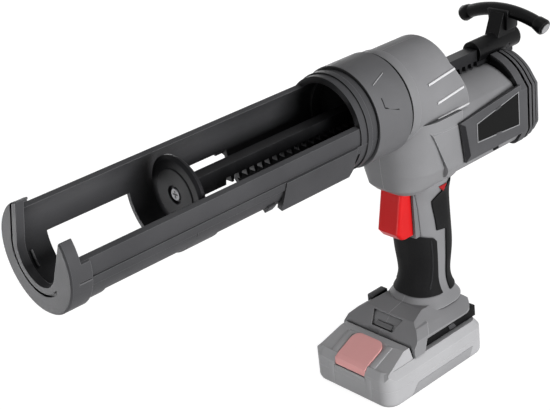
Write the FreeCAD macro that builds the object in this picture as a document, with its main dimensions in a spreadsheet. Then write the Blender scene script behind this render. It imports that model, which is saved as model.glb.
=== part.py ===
import FreeCAD, Part
import math
import os
import re
import Sketcher
from types import SimpleNamespace

# Cordless caulking tool. x runs forward to the nozzle, y to the tool's left and z up.
# The origin is the middle of the battery pack's base, on which the tool stands.

vector = FreeCAD.Vector
along_x = FreeCAD.Rotation(vector(0, 1, 0), 90)
along_y = FreeCAD.Rotation(vector(1, 0, 0), -90)

# Driving dimensions in millimetres, degrees where the name says angle.
# Heights are above the base, "ahead" and "behind" are distances along x from the origin.
dimensions = {
    # common to all pieces
    "wall_thickness": 2.6, "fit_gap": 0.3, "running_gap": 0.05, "cut_overrun": 2.0,
    "axis_height": 207.0,
    # barrel, gear bulge and motor block of the clamshell housing
    "barrel_radius": 33.0, "barrel_front_ahead": 6.0, "barrel_top_behind": 40.5, "barrel_low_behind": 57.0,
    "barrel_slope_rise": 18.0, "barrel_slope_drop": 17.0,
    "block_rear_behind": 106.0, "block_top_ahead": 11.0, "block_low_ahead": 31.0, "block_half_width": 33.0,
    "block_base_half_width": 27.0, "block_drop": 22.6, "block_side_rise": 15.0, "block_side_drop": 14.0,
    "block_edge_rise": 23.0, "block_edge_half_width": 26.5, "block_crown_rise": 33.0, "block_round": 7.0,
    "bulge_front_ahead": 6.0, "bulge_base_ahead": 3.0, "bulge_rear_behind": 45.0, "bulge_drop": 28.5,
    "bulge_rise": 24.0, "bulge_half_width": 33.0, "bulge_waist_half_width": 30.5, "bulge_waist_drop": 12.0,
    "bulge_base_half_width": 23.5, "bulge_round": 30.0, "bulge_base_round": 16.0, "bulge_edge": 4.0,
    # handle and foot of the housing
    "grip_depth": 39.0, "grip_width": 34.0, "grip_middle_behind": 32.0, "grip_skin": 1.2,
    "foot_front_ahead": 20.0, "foot_deck_ahead": 7.5, "foot_rear_behind": 49.5, "foot_half_width": 33.5,
    "foot_floor_height": 36.0, "foot_band_rise": 2.0, "foot_edge_rise": 5.4, "foot_deck_rise": 2.9,
    "foot_crown_rise": 3.7, "foot_rear_drop": 3.0, "foot_deck_half_width": 28.0,
    "foot_crown_half_width": 19.0,
    "foot_chamfer": 3.5,
    "foot_rear_round": 14.0, "cheek_rear_ahead": 6.0, "cheek_foot_ahead": 11.0,
    "lamp_recess_half_width": 15.0, "lamp_recess_low_half_width": 9.0, "lamp_recess_depth": 1.6,
    "lamp_lens_half_width": 7.6, "lamp_lens_thickness": 1.0,
    "cheek_inner_half_width": 31.0,
    "cheek_half_width": 35.5, "cheek_toe_ahead": 21.0, "cheek_height": 27.9, "front_lip_drop": 2.0,
    # rear cover and badges
    "cover_rear_behind": 132.0, "cover_arm_thickness": 1.8, "cover_band": 7.0, "fin_thickness": 2.5,
    "fin_pitch": 5.2, "cover_growth": 1.8, "cover_edge_lift": 3.0, "cover_crown_lift": 6.0,
    "cover_core_inset": 3.0,
    "arm_top_ahead": 39.5, "arm_low_ahead": 43.5, "arm_front_rise": 16.0, "arm_rear_rise": 22.5,
    "arm_drop": 14.0,
    "badge_front_behind": 57.0, "badge_rear_behind": 103.0, "badge_front_rise": 10.0,
    "badge_rear_rise": 18.0,
    "badge_front_drop": 3.5, "badge_rear_drop": 6.5, "badge_thickness": 1.0, "motor_space_radius": 20.0,
    # nose, collar and cradle
    "spigot_radius": 30.0, "spigot_rear_ahead": 2.0, "spigot_front_ahead": 28.3, "spigot_bore": 26.0,
    "spigot_wall": 4.3, "collar_radius": 35.0, "collar_front_ahead": 37.0, "collar_groove_radius": 32.8,
    "flange_thickness": 3.0, "flange_radius": 32.4,
    "cradle_bore": 28.5, "cradle_wall": 3.3, "cradle_front_ahead": 269.0, "cradle_ring_ahead": 52.0,
    "cradle_ring_radius": 32.8, "cradle_bead_radius": 33.8, "cradle_bead_width": 4.0,
    "cradle_edge_rise": 15.2,
    "cradle_turn_angle": 21.0, "window_half_angle": 66.0, "front_window_start": 188.6,
    "front_window_end": 248.0,
    "rear_window_start": 112.0, "rear_window_end": 166.0, "ledge_rise": 5.2, "ledge_drop": 1.0,
    "ledge_proud": 0.9, "keel_half_width": 33.5, "keel_drop": 17.0, "keel_start": 56.0, "keel_end": 117.5,
    "keel_chamfer": 5.0,
    # end cap of the cradle
    "cap_front_ahead": 274.3, "cap_skirt": 14.0, "cap_horn": 8.0, "cap_radius": 33.4,
    "cap_face_radius": 32.4, "slot_half_width": 17.5, "slot_top_half_width": 19.5, "slot_top_rise": 26.5,
    "slot_middle_rise": 0.8, "cap_lip_width": 4.0, "cap_groove_width": 1.6, "cap_groove_depth": 1.6,
    "cap_groove_end_drop": 8.0,
    # rack, pusher and pull handle
    "rack_half_width": 5.0, "rack_rise": 6.0, "rack_drop": 6.0, "rack_front_ahead": 162.0,
    "rack_rear_behind": 136.0, "rack_plain_front": 14.0, "rack_plain_rear": 41.0, "rack_module": 2.0,
    "pusher_front_ahead": 176.6, "pusher_radius": 24.2, "pusher_thickness": 6.0, "pusher_bevel": 2.4,
    "pusher_face_radius": 16.0, "pusher_face_step": 0.8, "pusher_dish_radius": 6.0,
    "pusher_dish_depth": 1.8,
    "hub_length": 10.0, "hub_radius": 9.0, "stud_radius": 2.5, "screw_head_radius": 4.4,
    "screw_head_height": 1.4,
    "boss_radius": 8.0, "boss_lift": 3.0, "boss_front_behind": 96.0, "boss_rear_behind": 142.0,
    "bar_behind": 132.6, "bar_half_length": 37.0, "bar_end_rise": 16.0, "bar_middle_rise": 24.6,
    "bar_radius": 4.8,
    "neck_front_behind": 116.0, "neck_lean": 10.0, "neck_rear_behind": 138.0, "neck_half_width": 6.0,
    "pin_radius": 2.0, "pin_length": 14.4, "pin_behind": 128.0,
    "guide_wall": 3.4, "guide_front_behind": 36.0, "guide_rear_behind": 52.0,
    # gear train
    "pinion_behind": 18.0, "gear_module": 1.0, "train_shaft_radius": 4.0, "bearing_radius": 8.0,
    "bearing_width": 5.0, "bearing_inner_half_width": 17.5, "bearing_boss_radius": 11.0,
    "pinion_start": 2.4, "pinion_width": 7.4,
    "wheel_start": 8.5, "wheel_width": 6.0, "crown_face": 2.6, "crown_back": 4.0,
    "planet_module": 0.8, "planet_width": 8.0, "ring_radius": 19.5, "gearbox_front_behind": 40.0,
    "gearbox_rear_behind": 64.0, "gearbox_plate": 4.0, "carrier_thickness": 3.5,
    "carrier_shaft_radius": 3.0,
    "carrier_nose_radius": 2.0, "planet_pin_radius": 1.5, "clutch_length": 7.0,
    # motor
    "motor_radius": 18.5, "motor_length": 54.0, "motor_wall": 1.5, "rotor_radius": 13.0,
    "rotor_length": 34.0,
    "motor_shaft_radius": 1.6, "fan_radius": 17.0, "fan_width": 5.0, "fan_gap": 3.0, "rib_thickness": 3.0,
    "gearbox_rib_behind": 52.0, "motor_rib_behind": 88.0,
    # trigger, lock button and switch
    "trigger_half_width": 10.3, "trigger_top_behind": 3.0, "trigger_toe_ahead": 3.0,
    "trigger_tip_behind": 1.0,
    "trigger_rear_behind": 22.0, "trigger_length": 34.0, "trigger_toe_rise": 5.0, "trigger_gap": 0.8,
    "trigger_travel": 6.0, "trigger_round": 3.0, "bezel_front_behind": 12.0,
    "bezel_rim": 2.4, "bezel_depth": 10.0, "plunger_radius": 2.0, "plunger_length": 5.0,
    "switch_length": 13.0, "switch_half_width": 9.0, "switch_height": 20.0, "switch_rise": 4.2,
    "lock_gap": 0.8, "lock_nose": 4.6, "lock_tail": 3.8, "lock_drop": 1.2, "lock_height": 4.6,
    "lock_length": 41.0, "lock_travel": 3.0,
    # battery pack and the shoe that takes it
    "battery_length": 104.0, "battery_width": 76.0, "battery_case_height": 14.0, "battery_top_height": 27.3,
    "battery_corner": 11.0, "battery_base_round": 4.5, "battery_wall": 2.5, "battery_roof": 4.8,
    "hollow_corner": 5.0,
    "battery_bevel_height": 22.0,
    "battery_top_inset": 4.0, "rail_front_ahead": 16.0, "rail_rear_behind": 45.0,
    "rail_neck_half_width": 21.6,
    "rail_head_half_width": 25.6, "rail_neck_height": 3.6, "rail_head_height": 2.7, "rail_gap": 0.4,
    "deck_rear_ahead": 21.6, "deck_break_ahead": 27.0, "deck_height": 35.0, "deck_nose_ahead": 48.0,
    "deck_nose_height": 26.5, "deck_half_width": 30.5,
    "deck_foot_half_width": 33.5,
    "button_half_width": 14.5, "button_corner": 6.5, "button_proud": 1.0, "button_depth": 6.5,
    "button_toe_depth": 4.5, "button_flat": 9.0, "button_base_height": 19.9, "button_tail": 5.5,
    "button_travel": 3.0,
    "spring_radius": 3.0, "spring_bore": 2.2, "spring_ahead": 32.3, "spring_seat_depth": 3.3,
    "shoe_half_width": 30.6, "shoe_front_ahead": 5.6, "shoe_rear_behind": 50.0,
    "cell_radius": 9.2, "cell_length": 65.0, "cell_pitch": 18.8, "cell_board_thickness": 1.2,
    "blade_length": 10.0, "blade_thickness": 0.8, "blade_pitch": 13.0, "blade_behind": 28.4,
    "blade_slot": 1.6,
    "terminal_block_height": 5.0, "control_board_thickness": 1.6, "control_board_length": 8.0,
    # screws
    "screw_shank_radius": 1.5, "screw_head_reach": 3.2, "screw_head_length": 2.4, "screw_boss_radius": 3.8,
    "screw_sink": 1.2,
}

# Counts of repeated features.
rack_pinion_teeth = 12
wheel_teeth = 36
lay_pinion_teeth = 12
crown_teeth = 26
clutch_teeth = 8
sun_teeth = 12
planet_teeth = 12
ring_teeth = 36
planet_count = 3
fin_count = 3
fan_blades = 7

# Tooth outline as shares of the module and of the tooth pitch.
addendum_share = 0.9
dedendum_share = 1.2
tip_width_share = 0.24
root_width_share = 0.46
crown_tip_share = 0.6
crown_tip_width_share = 0.18
crown_root_width_share = 0.38

doc = FreeCAD.newDocument("CaulkingTool")
sheet = doc.addObject("Spreadsheet::Sheet", "Sizes")
for row, (alias, number) in enumerate(dimensions.items(), 1):
    sheet.set("A%d" % row, alias)
    sheet.set("B%d" % row, str(number))
    sheet.setAlias("B%d" % row, alias)
doc.recompute()
s = SimpleNamespace(**{alias: float(sheet.get(alias)) for alias in dimensions})

nodes = []

# Places that follow from the driving dimensions.
rack_floor = s.axis_height - s.rack_drop
pinion_radius = s.rack_module * rack_pinion_teeth / 2
pinion_height = rack_floor + s.rack_module * addendum_share - pinion_radius
wheel_radius = s.gear_module * wheel_teeth / 2
lay_pinion_radius = s.gear_module * lay_pinion_teeth / 2
crown_radius = s.gear_module * crown_teeth / 2
clutch_radius = s.gear_module * clutch_teeth / 2
motor_height = pinion_height - wheel_radius - lay_pinion_radius
sun_radius = s.planet_module * sun_teeth / 2
planet_radius = s.planet_module * planet_teeth / 2
ring_pitch_radius = s.planet_module * ring_teeth / 2
planet_orbit = sun_radius + planet_radius
cradle_radius = s.cradle_bore + s.cradle_wall
bulge_floor = motor_height - s.bulge_drop
rail_top = s.battery_top_height + s.rail_neck_height + s.rail_head_height
motor_rear = -s.gearbox_rear_behind - s.motor_length
trigger_base = bulge_floor - s.trigger_gap - s.trigger_length
cell_count = int((s.battery_length - 2 * s.battery_wall) // s.cell_pitch)
front_lip = s.foot_floor_height - s.front_lip_drop
foot_band = s.foot_floor_height + s.foot_band_rise
foot_edge = foot_band + s.foot_edge_rise
foot_deck = foot_edge + s.foot_deck_rise
foot_crown = foot_deck + s.foot_crown_rise
switch_base = trigger_base + s.switch_rise
lock_top = bulge_floor - s.lock_drop


def linked(text):
    # Puts the sheet's name before each alias in an expression.
    return re.sub(r"[a-z_]+",
                  lambda word: "Sizes." + word.group() if word.group() in dimensions else word.group(),
                  text)


def bind(item, links):
    for name, text in links.items():
        item.setExpression(name, linked(text))
    return item


def place(item, x="0", y="0", z="0", rotation=None):
    if rotation:
        item.Placement = FreeCAD.Placement(vector(), rotation)
    return bind(item, {"Placement.Base.x": x, "Placement.Base.y": y, "Placement.Base.z": z})


def node(item, label):
    item.Label = label
    nodes.append(item)
    return item


def shape_node(label, shape):
    item = doc.addObject("Part::Feature", label)
    item.Shape = shape
    return node(item, label)


def box(name, length, width, height, x, y, z):
    item = doc.addObject("Part::Box", name)
    return place(bind(item, {"Length": length, "Width": width, "Height": height}), x, y, z)


def rod(name, radius, length, x, y, z, rotation=None):
    item = doc.addObject("Part::Cylinder", name)
    return place(bind(item, {"Radius": radius, "Height": length}), x, y, z, rotation)


def cut(name, base, tool):
    item = doc.addObject("Part::Cut", name)
    item.Base = base
    item.Tool = tool
    return item


def fuse(name, items):
    item = doc.addObject("Part::MultiFuse", name)
    item.Shapes = items
    return item


def group(name, items):
    item = doc.addObject("Part::Compound", name)
    item.Links = items
    return item


def sketch_in(body, name, plane, corners):
    # A closed outline whose every corner is held by two expressions.
    sketch = body.newObject("Sketcher::SketchObject", name)
    support = [feature for feature in body.Origin.OriginFeatures if feature.Role == plane][0]
    sketch.AttachmentSupport = (support, [""])
    sketch.MapMode = "FlatFace"
    count = len(corners)
    start = [vector(math.cos(2 * math.pi * i / count), math.sin(2 * math.pi * i / count),
                    0) for i in range(count)]
    for i in range(count):
        sketch.addGeometry(Part.LineSegment(start[i], start[(i + 1) % count]), False)
    for i in range(count):
        sketch.addConstraint(Sketcher.Constraint("Coincident", i, 2, (i + 1) % count, 1))
    for i, pair in enumerate(corners):
        for kind, axis, text in zip(("DistanceX", "DistanceY"), (-2, -1), pair):
            if text == "0":
                sketch.addConstraint(Sketcher.Constraint("PointOnObject", i, 1, axis))
            else:
                index = sketch.addConstraint(Sketcher.Constraint(kind, -1, 1, i, 1, 1.0))
                sketch.setExpression("Constraints[%d]" % index, linked(text))
    return sketch


def turned(name, corners, x="0", z="axis_height"):
    # A body turned about the x axis; corners are distance along the axis and radius.
    body = doc.addObject("PartDesign::Body", name)
    sketch = sketch_in(body, name + "_profile", "XZ_Plane", corners)
    doc.recompute()
    feature = body.newObject("PartDesign::Revolution", name + "_turning")
    feature.Profile = sketch
    feature.ReferenceAxis = (sketch, ["H_Axis"])
    feature.Angle = 360
    sketch.Visibility = False
    return place(body, x=x, z=z)


def padded(name, plane, corners, length, x="0", y="0", z="0"):
    # A body padded to both sides of its outline.
    body = doc.addObject("PartDesign::Body", name)
    sketch = sketch_in(body, name + "_outline", plane, corners)
    doc.recompute()
    feature = body.newObject("PartDesign::Pad", name + "_pad")
    feature.Profile = sketch
    feature.SideType = "Symmetric"
    bind(feature, {"Length": length})
    sketch.Visibility = False
    doc.recompute()
    return place(body, x, y, z)


def rounded(body, radius, wanted):
    # Rounds the edges of the body's tip that the test picks.
    doc.recompute()
    tip = body.Tip
    names = ["Edge%d" % i for i, edge in enumerate(tip.Shape.Edges, 1) if wanted(edge)]
    feature = body.newObject("PartDesign::Fillet", body.Name + "_round")
    feature.Base = (tip, names)
    bind(feature, {"Radius": radius})
    doc.recompute()
    return feature


def runs_along(edge, direction):
    line = edge.Vertexes[-1].Point - edge.Vertexes[0].Point
    return line.Length > 0 and abs(line.normalize().dot(direction)) > 0.999


def outline(points, radii, to_space):
    # A closed wire through points in a plane, with an arc of the given radius at each corner.
    points = [vector(u, v, 0) for u, v in points]
    count = len(points)
    corners = []
    for i, here in enumerate(points):
        if radii[i] == 0:
            corners.append((here, None, here))
            continue
        back = (points[i - 1] - here).normalize()
        on = (points[(i + 1) % count] - here).normalize()
        half = math.acos(max(-1.0, min(1.0, back.dot(on)))) / 2
        reach = radii[i] / math.tan(half)
        middle = here + (back + on).normalize() * (radii[i] / math.sin(half) - radii[i])
        corners.append((here + back * reach, middle, here + on * reach))
    edges = []
    for i, (first, middle, last) in enumerate(corners):
        if middle is not None:
            edges.append(Part.Arc(to_space(first), to_space(middle), to_space(last)).toShape())
        following = corners[(i + 1) % count][0]
        if (following - last).Length > s.running_gap / 10:
            edges.append(Part.LineSegment(to_space(last), to_space(following)).toShape())
    return Part.Wire(edges)


def prism(axis, points, start, end, radii=None):
    # An outline in the plane across the axis, drawn from start to end along it.
    spaces = {"x": lambda p: vector(start, p.x, p.y), "y": lambda p: vector(p.x, start, p.y),
              "z": lambda p: vector(p.x, p.y, start)}
    ways = {"x": vector(1, 0, 0), "y": vector(0, 1, 0), "z": vector(0, 0, 1)}
    wire = outline(points, radii or [0] * len(points), spaces[axis])
    return Part.Face(wire).extrude(ways[axis] * (end - start))


def bar_x(radius, start, end, height, side=0):
    return Part.makeCylinder(radius, end - start, vector(start, side, height), vector(1, 0, 0))


def bar_y(radius, start, end, x, height):
    return Part.makeCylinder(radius, end - start, vector(x, start, height), vector(0, 1, 0))


def block_between(low, high):
    size = high - low
    return Part.makeBox(size.x, size.y, size.z, low)


def one_solid(shape):
    if len(shape.Solids) != 1:
        raise ValueError("expected one solid, found %d" % len(shape.Solids))
    return shape.Solids[0]


# Clamshell housing
# Each form is drawn once for the outside and once, shrunk by the wall, for the hollow inside.

def barrel_form(growth, opening):
    radius = s.barrel_radius + growth
    front = s.barrel_front_ahead + opening
    top = s.axis_height + s.barrel_radius + s.cut_overrun
    low = s.axis_height - s.barrel_radius - s.cut_overrun
    slope_top = s.axis_height + s.barrel_slope_rise
    slope_low = s.axis_height - s.barrel_slope_drop
    rear_top = -s.barrel_top_behind - growth
    rear_low = -s.barrel_low_behind - growth
    side = prism("y", [(rear_top, top), (front, top), (front, low), (rear_low, low), (rear_low, slope_low),
                       (rear_top, slope_top)], -radius - s.cut_overrun, radius + s.cut_overrun)
    return bar_x(radius, rear_low - s.cut_overrun, front, s.axis_height).common(side)


def domed_section(half, edge_height, edge_half, crown_height):
    # A section's outline from its lower left corner over a round top, with the radius of each corner.
    rise = crown_height - edge_height
    radius = (edge_half ** 2 + rise ** 2) / (2 * rise)
    centre = crown_height - radius
    apex = centre + radius ** 2 / (edge_height - centre)
    left = half + [(-edge_half, edge_height)]
    points = left + [(0, apex)] + [(-u, v) for u, v in reversed(left)]
    rounds = [s.block_round, s.block_round, 0, 0]
    return points, rounds + [dome_share * radius] + rounds[::-1]


# Share of the dome's radius that fits between the section's upper edges.
dome_share = 0.96


def block_section(growth):
    half = [(-s.block_base_half_width - growth, motor_height - s.block_drop - growth),
            (-s.block_half_width - growth, motor_height - s.block_side_drop),
            (-s.block_half_width - growth, motor_height + s.block_side_rise)]
    return domed_section(half, motor_height + s.block_edge_rise + growth, s.block_edge_half_width + growth,
                         motor_height + s.block_crown_rise + growth)


def block_form(growth, opening):
    points, rounds = block_section(growth)
    rear = -s.block_rear_behind - opening
    block = prism("x", points, rear, 0, rounds)
    top = motor_height + s.block_crown_rise + s.cut_overrun
    low = motor_height - s.block_drop - s.cut_overrun
    lean = (s.block_low_ahead - s.block_top_ahead) / (s.block_edge_rise + s.block_drop)
    top_front = -s.block_top_ahead + lean * (s.block_crown_rise - s.block_edge_rise + s.cut_overrun) + growth
    low_front = -s.block_low_ahead - lean * s.cut_overrun + growth
    side = prism("y", [(rear, top), (top_front, top), (low_front, low), (rear, low)],
                 -s.block_half_width - s.cut_overrun, s.block_half_width + s.cut_overrun)
    return block.common(side)


def bulge_outline(height, front, half_width, corner):
    rear = -s.bulge_rear_behind
    return outline([(rear, -half_width), (front, -half_width), (front, half_width), (rear, half_width)],
                   [0, corner, corner, 0], lambda p: vector(p.x, p.y, height))


def bulge_form(growth):
    floor = bulge_floor - growth
    top = motor_height + s.bulge_rise
    edge = s.bulge_edge
    base_half = s.bulge_base_half_width + growth
    base_front = s.bulge_base_ahead + growth
    waist_front = (s.bulge_base_ahead + s.bulge_front_ahead) / 2 + growth
    wires = [bulge_outline(floor, base_front - edge, base_half - edge, s.bulge_base_round - edge),
             bulge_outline(floor + edge, base_front, base_half, s.bulge_base_round),
             bulge_outline(motor_height - s.bulge_waist_drop, waist_front,
                           s.bulge_waist_half_width + growth,
                           (s.bulge_round + s.bulge_base_round) / 2),
             bulge_outline(top, s.bulge_front_ahead + growth, s.bulge_half_width + growth, s.bulge_round)]
    return Part.makeLoft(wires, True, True)


# Sections of the handle from the foot's deck up: height, place of the middle, depth and width, as
# shares of the handle's height, depth, depth and width.
grip_section_shares = [(-0.014, 0.06, 1.30, 1.50), (0.049, 0.05, 1.10, 1.26), (0.104, 0.03, 0.96, 1.08),
                       (0.167, 0.01, 0.88, 0.98), (0.258, -0.01, 0.88, 0.97), (0.402, -0.02, 0.98, 0.99),
                       (0.565, -0.01, 1.01, 1.0), (0.747, 0.01, 1.02, 1.02), (0.910, 0.02, 1.06, 1.08),
                       (1.054, 0.03, 1.08, 1.12)]
grip_corner_share = 0.86


def grip_form(growth):
    low = foot_deck
    height = bulge_floor - low
    wires = []
    for rise_share, shift_share, depth_share, width_share in grip_section_shares:
        middle = -s.grip_middle_behind + shift_share * s.grip_depth
        deep = s.grip_depth * depth_share / 2 + growth
        wide = s.grip_width * width_share / 2 + growth
        corner = grip_corner_share * min(deep, wide)
        points = [(middle - deep, -wide), (middle + deep, -wide), (middle + deep, wide), (middle - deep,
                                                                                          wide)]
        level = low + rise_share * height
        wires.append(outline(points, [corner] * 4, lambda p: vector(p.x, p.y, level)))
    return Part.makeLoft(wires, True, False)


def foot_section(low, x, drop):
    # Across the foot: a low band on each side, then slopes up to the handle's root.
    half = [(-s.foot_half_width, low), (-s.foot_half_width, foot_band - drop / 2),
            (-s.foot_deck_half_width, foot_edge - drop),
            (-s.foot_crown_half_width, foot_crown - drop)]
    points = half + [(-u, v) for u, v in reversed(half)]
    return outline(points, [0] * len(points), lambda p: vector(x, p.x, p.y))


def foot_form():
    wide = s.foot_half_width
    front = s.foot_front_ahead
    rear = -s.foot_rear_behind
    rear_edge = foot_edge - s.foot_rear_drop
    side = [(front, front_lip), (s.foot_deck_ahead, foot_deck),
            (s.foot_deck_ahead - s.foot_crown_half_width, foot_crown),
            (rear + s.foot_rear_round, foot_crown), (rear + s.foot_chamfer,
                                                              rear_edge + s.foot_chamfer),
            (rear, rear_edge), (rear, s.foot_floor_height), (s.cheek_rear_ahead, s.foot_floor_height),
            (s.cheek_foot_ahead, front_lip)]
    plan = [(rear, -wide), (front, -wide), (front, wide), (rear, wide)]
    low = front_lip - s.cut_overrun
    top = foot_crown + s.cut_overrun
    corners = [s.foot_rear_round, 0, 0, s.foot_rear_round]
    across = Part.makeLoft([foot_section(low, rear, s.foot_rear_drop), foot_section(low, front, 0)], True,
                           True)
    return prism("y", side, -wide, wide).common(prism("z", plan, low, top, corners)).common(across)


def foot_hollow():
    # The space for the terminals and the control board, under the handle's root.
    rear = -s.foot_rear_behind + s.foot_rear_round
    front = s.foot_deck_ahead - s.foot_chamfer
    floor = s.foot_floor_height + s.wall_thickness
    top = foot_crown - s.wall_thickness
    points = [(rear, floor), (rear, top - s.foot_rear_drop), (s.foot_deck_ahead - s.foot_crown_half_width,
                                                              top),
              (front, foot_deck - s.wall_thickness), (front, floor)]
    return prism("y", points, -s.foot_crown_half_width, s.foot_crown_half_width)


def cheek_forms():
    # The two legs in front that reach down beside the battery's rail.
    points = [(s.foot_front_ahead, front_lip), (s.foot_deck_ahead, foot_deck),
              (s.cheek_rear_ahead - s.cheek_foot_ahead, foot_deck), (s.cheek_rear_ahead,
                                                                              s.foot_floor_height),
              (s.cheek_foot_ahead, s.cheek_height), (s.cheek_toe_ahead, s.cheek_height)]
    across = [(s.cheek_inner_half_width, s.cheek_height), (s.cheek_half_width, s.cheek_height),
              (s.foot_half_width, foot_band), (s.foot_deck_half_width, foot_edge),
              (s.foot_crown_half_width, foot_deck), (s.cheek_inner_half_width - s.wall_thickness,
                                                              front_lip)]
    forms = []
    for way in (-1, 1):
        leg = prism("x", [(way * u, v) for u, v in across], s.cheek_rear_ahead - s.cheek_foot_ahead,
                    s.cheek_toe_ahead)
        forms.append(leg.common(prism("y", points, -s.cheek_half_width, s.cheek_half_width)))
    return forms


screw_rise_share = 0.62


def screw_places():
    # Where the housing's screws go: x, height and the half width of the housing there.
    high = s.axis_height + screw_rise_share * s.barrel_radius
    barrel_half = math.sqrt(s.barrel_radius ** 2 - (high - s.axis_height) ** 2)
    grip_low = foot_deck + grip_section_shares[4][0] * (bulge_floor - foot_deck)
    grip_half = s.grip_width * grip_section_shares[4][3] / 2
    foot_middle = s.foot_floor_height + s.wall_thickness + s.screw_boss_radius / 2
    front = s.spigot_rear_ahead - s.screw_boss_radius - s.fit_gap
    rear = -s.barrel_top_behind + s.screw_boss_radius + s.wall_thickness / 2
    return [(front, high, barrel_half), (rear, high, barrel_half), (-s.grip_middle_behind, grip_low,
                                                                    grip_half),
            (0, foot_middle, s.foot_deck_half_width),
            (-s.foot_rear_behind + s.foot_rear_round, foot_middle, s.foot_deck_half_width)]


def housing_ribs(outer):
    # Ribs that seat the gearbox, the motor and the switch, and bosses for the bearings and screws.
    ribs = []
    for behind, radius in ((s.gearbox_rib_behind, s.ring_radius), (s.motor_rib_behind, s.motor_radius)):
        slab = block_between(vector(-behind, -s.block_half_width, motor_height - s.block_drop),
                             vector(-behind + s.rib_thickness, s.block_half_width,
                                    motor_height + s.block_edge_rise))
        ribs.append(slab.cut(bar_x(radius, -behind - s.cut_overrun,
                                   -behind + s.rib_thickness + s.cut_overrun,
                                   motor_height)))
    shelf_front = -s.trigger_rear_behind - s.trigger_travel - s.fit_gap
    shelf_rear = shelf_front - s.switch_length - s.rib_thickness
    shelf = block_between(vector(shelf_rear, -s.grip_width, switch_base - s.rib_thickness),
                          vector(shelf_front, s.grip_width, switch_base))
    ribs.append(shelf)
    for height in (pinion_height, motor_height):
        for way in (-1, 1):
            inner = way * s.bearing_inner_half_width
            outer_end = way * (s.bulge_half_width + s.cut_overrun)
            ribs.append(bar_y(s.bearing_boss_radius, min(inner, outer_end), max(inner, outer_end),
                              -s.pinion_behind, height))
    for x, height, half in screw_places():
        ribs.append(bar_y(s.screw_boss_radius, -half, half, x, height))
    return [rib.common(outer) for rib in ribs]


# Where the work lamp's recess and its lens begin and end down the front slope of the foot.
lamp_recess_shares = (0.07, 0.72)
lamp_lens_shares = (0.46, 0.66)


def slope_point(share, depth):
    # A point on the front slope, or below it by the depth.
    run = s.foot_front_ahead - s.foot_deck_ahead
    fall = foot_deck - front_lip
    length = math.hypot(run, fall)
    return (s.foot_deck_ahead + share * run - depth * fall / length,
            foot_deck - share * fall - depth * run / length)


def slope_slab(shares, high, low, half):
    start, end = shares
    points = [slope_point(start, high), slope_point(end, high), slope_point(end, low),
              slope_point(start, low)]
    return prism("y", points, -half, half)


def lamp_recess(depth):
    # A shallow pocket that narrows down the slope, for the work lamp.
    wide = s.lamp_recess_half_width
    narrow = s.lamp_recess_low_half_width
    slab = slope_slab(lamp_recess_shares, -s.cut_overrun, depth, wide)
    top = slope_point(lamp_recess_shares[0], 0)[0] - s.cut_overrun
    low = slope_point(lamp_recess_shares[1], 0)[0] + s.cut_overrun
    plan = [(top, -wide), (low, -narrow), (low, narrow), (top, wide)]
    return slab.common(prism("z", plan, s.foot_floor_height - s.cut_overrun, foot_crown))


def make_lamp_lens():
    # The lens bar lies on the recess's floor.
    floor = s.lamp_recess_depth
    shape_node("lamp_lens", one_solid(slope_slab(lamp_lens_shares, floor - s.lamp_lens_thickness, floor,
                                                 s.lamp_lens_half_width)))


def lock_corners():
    # Side view of the lock button: a flat top over a point, just behind the pulled trigger.
    nose = -s.trigger_rear_behind - s.trigger_travel - s.lock_gap
    point = nose - s.lock_nose
    return [(nose, lock_top), (point - s.lock_tail, lock_top), (point, lock_top - s.lock_height)]


def lock_hole():
    corners = lock_corners()
    wire = outline(corners, [0] * len(corners), lambda p: vector(p.x, -s.grip_width, p.y))
    return Part.Face(wire.makeOffset2D(s.running_gap, 2)).extrude(vector(0, 2 * s.grip_width, 0))


def housing_holes():
    holes = []
    bore_end = s.bearing_inner_half_width + s.bearing_width
    for height in (pinion_height, motor_height):
        holes.append(bar_y(s.bearing_radius, -bore_end, bore_end, -s.pinion_behind, height))
    guide_half = s.rack_half_width + s.fit_gap + s.guide_wall
    holes.append(block_between(
        vector(-s.guide_rear_behind, -guide_half, rack_floor - s.fit_gap - s.guide_wall),
        vector(-s.guide_front_behind, guide_half, s.axis_height + s.rack_rise + s.fit_gap + s.guide_wall)))
    trigger_half = s.trigger_half_width + s.bezel_rim + s.fit_gap
    holes.append(block_between(
        vector(-s.trigger_rear_behind, -trigger_half, trigger_base - s.bezel_rim),
        vector(s.trigger_toe_ahead + s.cut_overrun, trigger_half, bulge_floor - s.fit_gap)))
    holes.append(lock_hole())
    holes.append(lamp_recess(s.lamp_recess_depth))
    for x, height, half in screw_places():
        holes.append(bar_y(s.screw_shank_radius, -half, half - s.wall_thickness, x, height))
        holes.append(bar_y(s.screw_head_reach, -s.foot_half_width - s.cut_overrun,
                           -half + s.screw_sink + s.screw_head_length, x, height))
    slot_half = s.blade_pitch + s.blade_thickness + s.fit_gap
    holes.append(block_between(
        vector(-s.blade_behind - s.fit_gap, -slot_half, s.foot_floor_height - s.cut_overrun),
        vector(-s.blade_behind + s.blade_length + s.fit_gap, slot_half,
               s.foot_floor_height + s.wall_thickness + s.cut_overrun)))
    return holes


def make_housing():
    wall = -s.wall_thickness
    outer = barrel_form(0, 0).fuse([block_form(0, 0), bulge_form(0), grip_form(0),
                                    foot_form()] + cheek_forms())
    inner = barrel_form(wall, s.cut_overrun).fuse([block_form(wall, s.cut_overrun), bulge_form(wall),
                                                   grip_form(wall), foot_hollow()])
    shell = outer.cut(inner)
    shell = shell.fuse(housing_ribs(outer))
    shell = shell.cut(housing_holes())
    reach = s.axis_height + s.barrel_radius + s.cut_overrun
    left_space = block_between(vector(-reach, 0, 0), vector(reach, reach, reach))
    right_space = block_between(vector(-reach, -reach, 0), vector(reach, 0, reach))
    shape_node("left_housing", one_solid(shell.common(left_space)))
    shape_node("right_housing", one_solid(shell.common(right_space)))


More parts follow.
